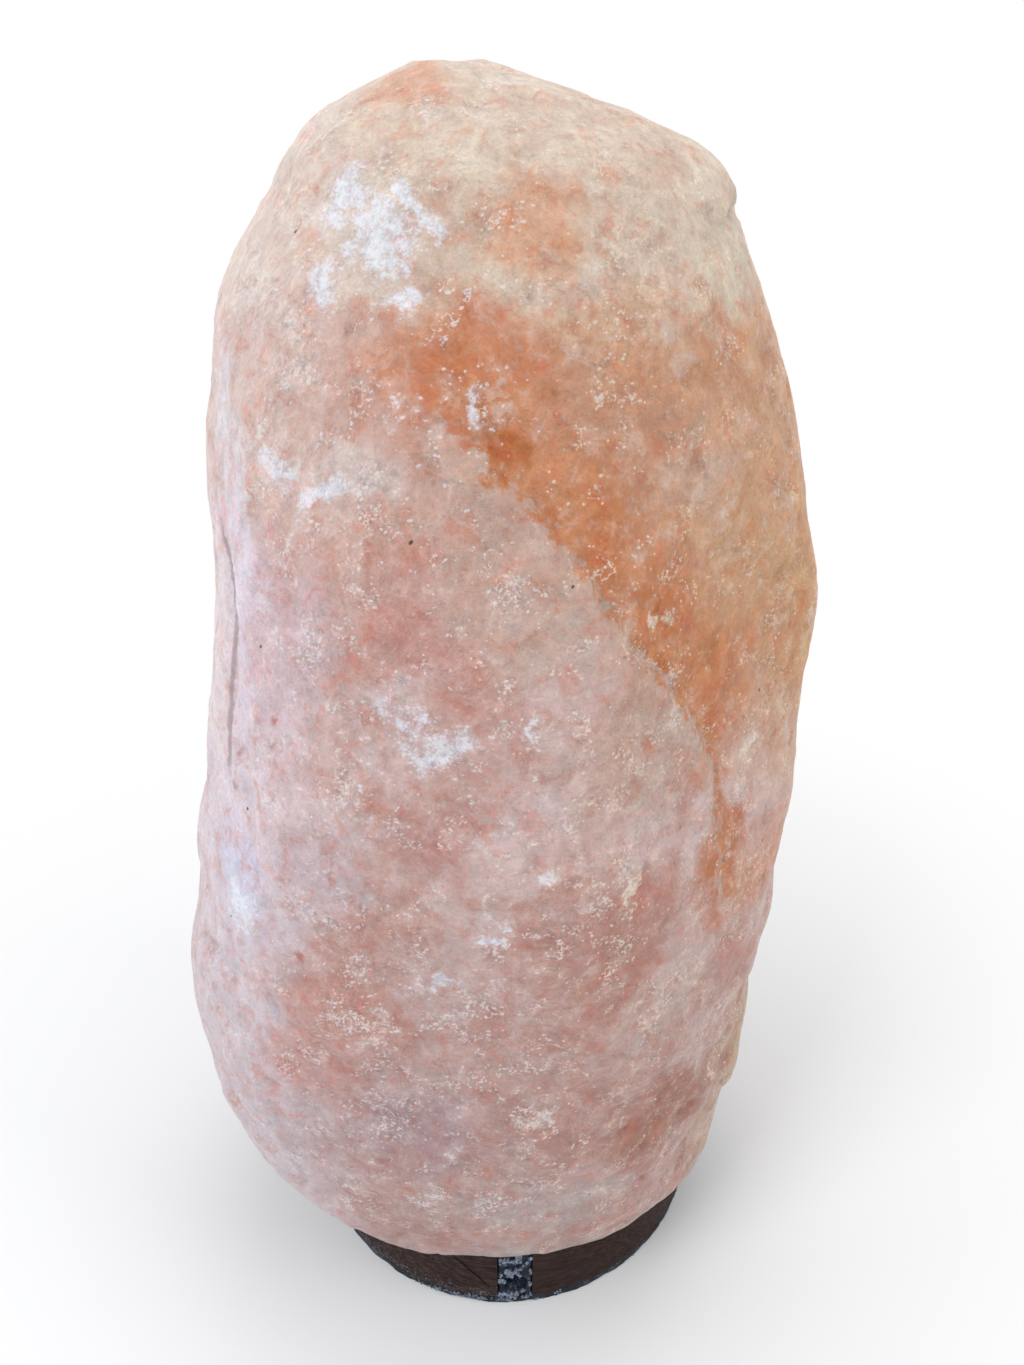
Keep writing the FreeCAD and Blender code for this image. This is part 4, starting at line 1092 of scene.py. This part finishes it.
def crack_shape():
    """A thin wedge along the crack, from outside the rim to its floor in the wood."""
    verts = []
    for index, (x, y, z) in enumerate(CRACK):
        width = 0.62 * math.sin(math.pi * (index + 0.35) / (len(CRACK) - 0.3)) + 0.06
        jitter = 0.25 * noise.noise(Vector((index * 1.7, 3.0, 1.0)))
        outside = 59.2 / math.hypot(x, y)
        inside = 56.3 / math.hypot(x, y)
        for sign in (-1, 1):
            verts.append((x * outside + sign * width * 0.75, y * outside, z + jitter + sign * width * 0.66))
        verts.append((x * inside, y * inside, z + jitter))
    faces = [(0, 1, 2), tuple(len(verts) - 3 + i for i in (2, 1, 0))]
    for index in range(len(CRACK) - 1):
        a = index * 3
        for first, second in ((0, 1), (1, 2), (2, 0)):
            faces.append((a + first, a + second, a + 3 + second, a + 3 + first))
    return verts, faces


def make_base():
    rim = arc(56.8, 3.7, 1.2, -90, 0, 5) + upright(4.6, 22.0, 12, 58.0) + arc(55.0, 23.0, 3.0, 0, 90, 8)
    profile = [(22.0, 14.5), (31.0, 14.5), (31.0, 8.0), (31.0, 2.5), (44.0, 2.5)] + rim
    profile += [(45.0, 26.0), (34.0, 26.0), (22.0, 26.0)]
    verts, faces = turned_mesh(profile, 360)
    rough = []
    for x, y, z in verts:
        radius = math.hypot(x, y)
        if radius > 50.0:
            wobble = 0.22 * noise.noise(Vector((x / 14, y / 14, z / 5))) - 0.16
            wobble += 0.07 * noise.noise(Vector((x / 30, y / 3.0, z / 1.6)))
            x *= 1 + wobble / radius
            y *= 1 + wobble / radius
        rough.append((x, y, z))
    piece = put("wooden_foot", (rough, faces), "lamp", "stained_wood", "wood_base")

    # the slot, the recess for the insert's flange, the cord's channel, the crack, the screw holes
    cutters = [
        box_shape((-4.85, -64.0, -2.0), (4.85, -43.0, 31.0)),
        box_shape((-7.25, -44.0, -2.0), (7.25, -41.0, 17.0)),
        box_shape((-4.85, -42.0, -2.0), (4.85, -20.0, 13.5)),
        crack_shape(),
    ]
    for place in three_places(SCREW_CIRCLE):
        cutters.append(moved(bar_shape(5.5, -2.0, 12.0), place))
        cutters.append(moved(bar_shape(2.3, 10.0, 30.0), place))
    carve(piece, cutters)
    tidy_normals(piece, 38)


def make_pad():
    profile = arc(56.9, 0.7, 0.7, -90, 0, 4) + arc(56.9, 1.8, 0.7, 0, 90, 4)
    profile += arc(48.7, 1.9, 0.6, 90, 180, 3) + arc(48.7, 0.6, 0.6, 180, 270, 3)
    verts, faces = turned_mesh(profile, 300)
    rough = []
    for x, y, z in verts:
        radius = math.hypot(x, y)
        wobble = 0.35 * noise.noise(Vector((x / 5, y / 5, z)))
        wobble = min(wobble + 0.25 * noise.noise(Vector((x / 1.8, y / 1.8, z))), 0.3)
        rise = 0.0 if z < 0.8 else -0.12 * abs(noise.noise(Vector((x / 3, y / 3, 9.0))))
        rough.append((x * (1 + wobble / radius), y * (1 + wobble / radius), z + rise))
    put("rim_pad", (rough, faces), "lamp", "pad_rubber", "foot_pad", 60)


def make_grommet():
    block = box_shape((-4.7, -57.45, 2.6), (4.7, -43.9, 25.85))
    piece = put("slot_grommet", block, "lamp", "grommet_rubber", "cord_grommet")
    carve(piece, [box_shape((-7.1, -44.6, 2.6), (7.1, -41.1, 16.9))], "UNION")
    turn = Matrix.Translation((0.0, -30.0, INLET_HEIGHT)) @ Matrix.Rotation(math.radians(90.0), 4, "X")
    carve(piece, [moved(bar_shape(INLET_RADIUS, -1.0, 40.0, 48), turn)])
    remesh = piece.modifiers.new("remesh", "REMESH")
    remesh.mode = "VOXEL"
    remesh.voxel_size = 0.42 * MM
    rebuild(piece)

    # a moulded, lumpy skin whose outer face follows the rim's curve
    mesh = piece.data
    points = np.array([v.co for v in mesh.vertices]) / MM
    normals = np.array([v.normal for v in mesh.vertices])
    push = 0.22 * noise_at(points, 1.6, 3.0) + 0.25 * noise_at(points, 4.0, 7.0) - 0.1
    front = smoothstep(-52.0, -56.0, points[:, 1])
    points += normals * (push * (0.25 + 0.75 * front))[:, None]
    curve = 57.45 - np.sqrt(np.maximum(57.45 ** 2 - points[:, 0] ** 2, 1.0))
    points[:, 1] += curve * front
    mesh.vertices.foreach_set("co", (points * MM).ravel())
    mesh.polygons.foreach_set("use_smooth", [True] * len(mesh.polygons))
    mesh.materials.clear()
    mesh.materials.append(looks["grommet_rubber"])


def grain_of_salt(centre, size, key):
    """One small skewed cube of salt, turned at random but the same every run."""
    turn = noise.noise_vector(Vector((key * 1.37, 5.1, 2.2))) * 6.0
    spin = (Matrix.Rotation(turn.x, 3, "X") @ Matrix.Rotation(turn.y, 3, "Y")
            @ Matrix.Rotation(turn.z, 3, "Z"))
    stretch = noise.noise_vector(Vector((key * 2.11, 1.7, 8.8)))
    halves = [size * (1.0 + 0.55 * s) * 0.5 for s in stretch]
    verts = []
    for corner in range(8):
        raw = Vector([half if corner >> axis & 1 else -half for axis, half in enumerate(halves)])
        raw *= 1.0 + 0.18 * noise.noise(Vector((key * 3.3, corner * 1.9, 0.5)))
        verts.append(tuple(Vector(centre) + spin @ raw))
    return verts, [(0, 2, 3, 1), (4, 5, 7, 6), (0, 1, 5, 4), (2, 6, 7, 3), (0, 4, 6, 2), (1, 3, 7, 5)]


def make_crust():
    """Salt that has crept out over the slot's filling and along the foot."""
    grains = []
    key = 0
    for column in range(23):
        for row in range(52):
            key += 1
            jitter = noise.noise_vector(Vector((key * 0.713, 2.3, 4.1)))
            x = -4.5 + 9.0 * (column + 0.5 + 0.8 * jitter.x) / 23
            z = 2.6 + 23.0 * (row + 0.5 + 0.8 * jitter.y) / 52
            if abs(x) > 4.75 or math.hypot(x, z - INLET_HEIGHT) < 3.5:
                continue
            crowd = noise.noise(Vector((x / 2.2, z / 2.6, 5.0))) + 0.55 * jitter.z
            if crowd < 0.26:
                continue
            out = math.sqrt(57.75 ** 2 - x * x)
            grains.append(grain_of_salt((x, -out, z), 0.34 + 0.55 * max(0.0, jitter.z + 0.25), key))
    for index in range(900):
        key += 1
        jitter = noise.noise_vector(Vector((key * 0.577, 8.3, 1.1)))
        bearing = -140.0 + 122.0 * (index + jitter.x) / 900
        crowd = noise.noise(Vector((bearing / 5.0, 3.0, 7.0))) + 0.5 * jitter.y
        near_slot = math.exp(-((bearing + 103.0) / 13.0) ** 2)
        if crowd < 0.42 - 0.62 * near_slot:
            continue
        height = 0.5 + 3.0 * abs(jitter.z) + 1.6 * near_slot * abs(jitter.x)
        radius = 57.55 if height < 2.7 else 58.0
        size = 0.26 + 0.42 * abs(jitter.y)
        centre = ring_point(math.radians(bearing), radius, max(height, size * 0.8))
        grains.append(grain_of_salt(centre, size, key))
    put("salt_creep", joined(grains), "lamp", "salt", look="salt_crust", smooth=False)


# ================================================================ fasteners
def screw_thread(turn, radius, height):
    if height < 14.0 or height > 47.4 or radius < 1.0:
        return radius
    phase = (height / 1.8 - turn / (2 * math.pi)) % 1.0
    ridge = max(0.0, 1.0 - abs(phase - 0.5) / 0.28)
    return 1.42 + 0.56 * ridge * min(1.0, (height - 14.0) / 2.0) * min(1.0, (47.6 - height) / 3.0)


def make_screws():
    head = [(0, 9.1), (1.2, 9.12), (2.4, 9.25), (3.1, 9.6), (3.4, 10.2), (3.45, 10.95), (4.5, 11.0),
            (4.75, 11.15), (4.8, 11.4), (4.8, 11.85), (4.6, 12.0), (2.05, 12.0)]
    shank = upright(12.2, 47.0, 200, 1.75) + [(1.1, 48.0), (0.4, 48.8), (0, 49.0)]
    screw = shaped(solid_turned(head + shank, 28), screw_thread)
    rings = []
    for index in range(14):
        z = 26.1 + index * 1.85
        rings += [(3.05, z), (3.45, z + 1.3), (3.1, z + 1.55)]
    plug = turned_mesh([(2.02, 26.05), (3.3, 26.05)] + rings + [(2.8, 51.9), (2.02, 51.95)], 28)

    places = three_places(SCREW_CIRCLE)
    screws = joined(moved(screw, place) for place in places)
    piece = put("foot_screws", screws, "lamp", "zinc_steel", "base_screws", 50)
    # cross recesses that narrow upwards
    cutters = []
    for place in three_places(SCREW_CIRCLE, 1.7):
        for half_x, half_y in ((2.1, 0.42), (0.42, 2.1)):
            verts, faces = box_shape((-half_x, -half_y, 8.0), (half_x, half_y, 10.4))
            narrow = [(x * (0.8 if z > 9 else 1.0), y * (0.8 if z > 9 else 1.0), z) for x, y, z in verts]
            cutters.append(moved((narrow, faces), place))
    carve(piece, cutters)
    tidy_normals(piece, 45)
    put("ribbed_plugs", joined(moved(plug, place) for place in places), "lamp", "nylon", "wall_plugs", 40)


def small_rivet(low, seat, shank, head, rise, sides):
    profile = [(0, low), (shank, low), (shank, seat), (head, seat), (head * 0.97, seat + rise * 0.45),
               (head * 0.75, seat + rise * 0.85), (head * 0.4, seat + rise), (0, seat + rise)]
    return solid_turned(profile, sides)


# ================================================================ lampholder
THREAD_PITCH = 2.54
RIVET_CIRCLE = 16.0


def bulb_thread(angle, height, low, high):
    """-1 to 1 over the bulb's thread, fading at both ends of its run."""
    fade = min(1.0, max(0.0, (height - low) / 1.2)) * min(1.0, max(0.0, (high - height) / 1.2))
    return fade * math.cos(2 * math.pi * height / THREAD_PITCH - angle)


def stem_thread(angle, radius, height):
    """Fine thread of 1 mm pitch, plain where the sheet and the nut sit."""
    if radius < 4.3 or height > 18.9 or height < 9.0:
        return radius
    if 13.1 < height < 16.7:
        return 4.88
    return 4.72 + 0.18 * math.cos(2 * math.pi * height - angle)


def six_flats(angle, radius, height):
    if radius < 6.0:
        return radius
    flat = 7.0 / math.cos((angle + math.pi / 6) % (math.pi / 3) - math.pi / 6)
    return min(radius, flat, 7.0 + 1.9 * (height - 10.2))


def ribbed(angle, radius, height):
    if radius < 12.4 or height < 26.0 or height > 41.8:
        return radius
    fade = min(1.0, (height - 26.0) / 0.8, (41.8 - height) / 0.8)
    return radius - 0.34 * fade * max(0.0, math.cos(24 * angle)) ** 0.7


def shell_thread(angle, radius, height):
    if radius < 5.95 or height < 30.1 or height > 43.5:
        return radius
    return radius - 0.16 + 0.16 * bulb_thread(angle, height, 30.2, 43.5)


def cap_thread(angle, radius, height):
    if radius < 5.6:
        return radius
    return 5.44 + 0.18 * bulb_thread(angle, height, 36.0, 46.4)


def make_holder():
    # hollow threaded stem, its nut and the bush where the cord comes in
    profile = upright(9.1, 18.8, 78, 4.9) + [(4.6, 19.0), (3.75, 19.0), (3.75, 8.9), (4.6, 8.9)]
    stem = shaped(turned_mesh(profile, 64), stem_thread)
    put("cord_stem", stem, "holder", "zinc_steel", "threaded_nipple", 50)
    profile = [(4.95, 10.2), (6.4, 10.2)] + upright(10.3, 13.1, 14, 9.0) + [(6.9, 13.2), (4.95, 13.2)]
    nut = shaped(turned_mesh(profile, 180), six_flats)
    put("hex_nut", nut, "holder", "zinc_steel", "lock_nut", 25)
    profile = arc(3.7, 7.7, 0.4, 180, 270, 4) + arc(5.5, 7.7, 0.4, 270, 360, 4)
    profile += [(5.9, 8.9), (3.68, 8.9), (3.68, 11.8), (3.3, 11.9)]
    put("cord_bush", turned_mesh(profile, 72), "holder", "nylon", "entry_bush", 35)

    # moulded shell in two halves: plain cap below, ribbed body above
    profile = [(4.95, 14.2), (10.4, 14.2)] + arc(11.0, 15.7, 1.5, -90, 0, 8) + upright(16.5, 23.4, 6, 12.5)
    profile += [(12.5, 23.9), (12.2, 24.05), (12.2, 24.38), (10.9, 24.38), (10.9, 16.6), (4.95, 16.6)]
    put("shell_cap", turned_mesh(profile, 120), "holder", "holder_plastic", "holder_cap", 30)
    profile = [(10.9, 24.42), (12.2, 24.42), (12.2, 24.7), (12.5, 24.9)] + upright(25.4, 42.6, 24, 12.5)
    profile += arc(10.9, 44.4, 1.6, 0, 90, 8) + [(8.2, 46.0)] + arc(8.0, 45.2, 0.8, 90, 180, 4)
    profile += [(7.2, 44.2), (10.9, 44.2)]
    shell = shaped(turned_mesh(profile, 288), ribbed)
    put("ribbed_shell", shell, "holder", "holder_plastic", "holder_body", 40)

    # threaded shell that the bulb screws into, and its tab
    profile = upright(30.2, 43.4, 90, 6.05) + [(6.12, 43.6), (6.35, 43.6)]
    profile += list(reversed(upright(30.0, 43.4, 90, 6.4)))
    profile += [(6.3, 29.62), (4.25, 29.62), (4.25, 29.95), (5.9, 29.98)]
    tab = box_shape((6.0, -2.0, 29.62), (9.9, 2.0, 29.94))
    socket = joined((shaped(turned_mesh(profile, 96), shell_thread), tab))
    put("screw_socket", socket, "holder", "plated_brass", "screw_shell", 50)

    # rivets of the clips, and of the contacts
    rivet = small_rivet(13.2, 14.7, 1.15, 2.0, 0.6, 32)
    rivets = joined(moved(rivet, place) for place in three_places(RIVET_CIRCLE))
    put("clip_rivet_heads", rivets, "holder", "zinc_steel", "clip_rivets", 40)
    rivet = small_rivet(25.6, 29.95, 0.86, 1.3, 0.35, 28)
    rivets = joined(moved(rivet, Matrix.Translation((x, 0.0, 0.0))) for x in (-2.6, 8.2))
    put("socket_rivets", rivets, "holder", "brass", "contact_rivets", 40)


# ================================================================ bulb
def make_bulb():
    outer = [(5.25, 42.4), (5.25, 44.0), (5.25, 46.4), (5.35, 47.6), (5.9, 48.6)]
    outer += [(11.1 - 5.2 * (1 - t) ** 2.2, 48.6 + 8.0 * t) for t in (0.15, 0.3, 0.45, 0.6, 0.75, 0.9, 1.0)]
    outer += [(11.1, 62.0), (11.1, 68.0), (11.1, 74.0)]
    for index in range(15):
        t = math.sin(math.radians(90.0 * index / 14.5))
        outer.append((11.1 * (1 - t ** 2.2) ** (1 / 2.2), 77.0 + 9.0 * t))
    inner = [(max(r - 0.6, 0.02), z - 0.6 * float(smoothstep(77.0, 86.0, z))) for r, z in outer]
    profile = [(0.0, 86.0)] + list(reversed(outer)) + inner + [(0.0, 85.4)]
    put("bulb_envelope", solid_turned(profile, 72), "bulb", "clear_glass", "bulb_glass")

    profile = [(4.9, 35.3), (5.15, 35.35)] + upright(36.0, 47.0, 72, 5.65)
    profile += [(5.62, 47.3), (5.36, 47.4), (5.36, 36.2), (4.9, 36.0)]
    cap = shaped(turned_mesh(profile, 96), cap_thread)
    put("bulb_screw_cap", cap, "bulb", "plated_brass", "bulb_cap", 50)

    # the tip: black glass and a lump of solder
    profile = [(0, 33.4), (2.5, 33.42), (3.0, 33.7), (3.8, 34.4), (4.5, 34.85), (4.8, 35.2), (4.8, 35.9),
               (0, 35.95)]
    put("black_insulator", solid_turned(profile, 64), "bulb_tip", "black_glass", "bulb_insulator", 50)
    profile = [(0, 31.9), (0.7, 31.95), (1.4, 32.12), (1.95, 32.5), (2.2, 33.0), (2.3, 33.39), (0, 33.39)]
    verts, faces = solid_turned(profile, 48)
    lumpy = [(x * (1 + 0.05 * noise.noise(Vector((x, y, z)))), y, z) for x, y, z in verts]
    put("solder_tip", (lumpy, faces), "bulb_tip", "solder", "bulb_contact", 60)

    profile = [(0, 43.45), (4.3, 43.45), (4.35, 43.7), (4.1, 44.3), (3.2, 45.4), (2.4, 46.9), (2.0, 48.8),
               (1.9, 52.0), (2.0, 55.0), (2.2, 56.6), (1.9, 57.2), (0.9, 57.4), (0, 57.4)]
    put("glass_stem", solid_turned(profile, 48), "bulb", "stem_glass", "bulb_stem")

    wires = []
    for side in (-1, 1):
        line = [(side * x, 0, z) for x, z in ((1.0, 55.4), (1.3, 57.2), (3.4, 59.4), (4.9, 61.6),
                                              (5.2, 64.0), (5.2, 66.6))]
        wires.append(pipe(smooth_line(line, 8), 0.26, 10))
    wires.append(pipe(smooth_line([(0, 0, 55.4), (0, 0.1, 60.0), (0, 0, 66.0), (0, 0, 68.6)], 6), 0.16, 8))
    put("support_wires", joined(wires), "bulb", "lead_wire", "bulb_wires", 50)

    line = []
    turns = 46
    for index in range(turns * 12 + 1):
        share = index / (turns * 12)
        rise = 67.0 + 2.1 * (1 - abs(2 * share - 1)) ** 1.15
        angle = 2 * math.pi * index / 12
        line.append((-5.2 + 10.4 * share, 0.26 * math.cos(angle), rise + 0.26 * math.sin(angle)))
    put("coiled_filament", pipe(line, 0.055, 5), "bulb", "tungsten", "bulb_filament", 60)


put("rock_salt_block", make_rock(), "lamp", "salt", "salt_crystal")
make_base()
make_pad()
make_grommet()
make_crust()
make_screws()
make_holder()
make_bulb()


# ================================================================ stage and light
def light_node(n, kind, tone, strength):
    node = n.new(kind)
    n.link(tone, node.inputs["Color"])
    node.inputs["Strength"].default_value = strength
    return node


def shown_instead(n, plain, white, where=None):
    """White for what is seen, in mirrors and through glass too; the plain one lights the object."""
    path = n.new("LightPath")
    seen = n.math("MAXIMUM", path.outputs["Is Camera Ray"], path.outputs["Is Glossy Ray"])
    seen = n.math("MAXIMUM", seen, path.outputs["Is Transmission Ray"])
    blend = n.new("MixShader")
    n.link(seen * where if where else seen, blend.inputs[0])
    n.link(plain.outputs[0], blend.inputs[1])
    n.link(white.outputs[0], blend.inputs[2])
    n.link(blend.outputs[0], n.out.inputs["Surface"])


def make_stage():
    reach = 12000.0
    corners = [(-reach, -reach, 0), (reach, -reach, 0), (reach, reach, 0), (-reach, reach, 0)]
    floor = bpy.data.objects.new("floor", bare_mesh("floor", corners, [(0, 1, 2, 3)]))
    scene.collection.objects.link(floor)
    n = material_nodes("floor")
    n.set(Base_Color=(0.86, 0.86, 0.865), Roughness=0.85, Specular_IOR_Level=0.1)
    away = n.step(n.vector("LENGTH", n.place), 0.06, 0.32)
    shown_instead(n, n.shader, light_node(n, "Emission", (1.0, 1.0, 1.0), 1.0), away)
    floor.data.materials.append(n.material)

    scene.world = bpy.data.worlds.new("studio")
    n = Nodes(scene.world)
    n.out = n.new("OutputWorld")
    soft = light_node(n, "Background", (0.94, 0.97, 1.0), 0.48)
    shown_instead(n, soft, light_node(n, "Background", (1.0, 1.0, 1.0), 1.0))


def soft_lamp(name, place, aim, side, power, tone=(1.0, 1.0, 1.0)):
    lamp = bpy.data.lights.new(name, "AREA")
    lamp.shape = "RECTANGLE"
    lamp.size = side
    lamp.size_y = side
    lamp.energy = power
    lamp.color = tone
    holder = bpy.data.objects.new(name, lamp)
    holder.location = place
    holder.rotation_euler = (Vector(aim) - Vector(place)).to_track_quat("-Z", "Y").to_euler()
    scene.collection.objects.link(holder)


make_stage()
soft_lamp("key", (-0.75, -0.75, 1.15), (0.0, 0.0, 0.18), 0.55, 8.8, (0.97, 0.98, 1.0))
soft_lamp("fill", (1.10, -0.45, 0.70), (0.0, 0.0, 0.15), 0.7, 5.8, (1.0, 0.98, 0.95))
soft_lamp("left", (-1.15, 0.05, 0.60), (0.0, 0.0, 0.15), 0.7, 3.4, (0.94, 0.97, 1.0))
soft_lamp("top", (0.1, 0.35, 1.2), (0.0, 0.0, 0.2), 0.8, 4.5)
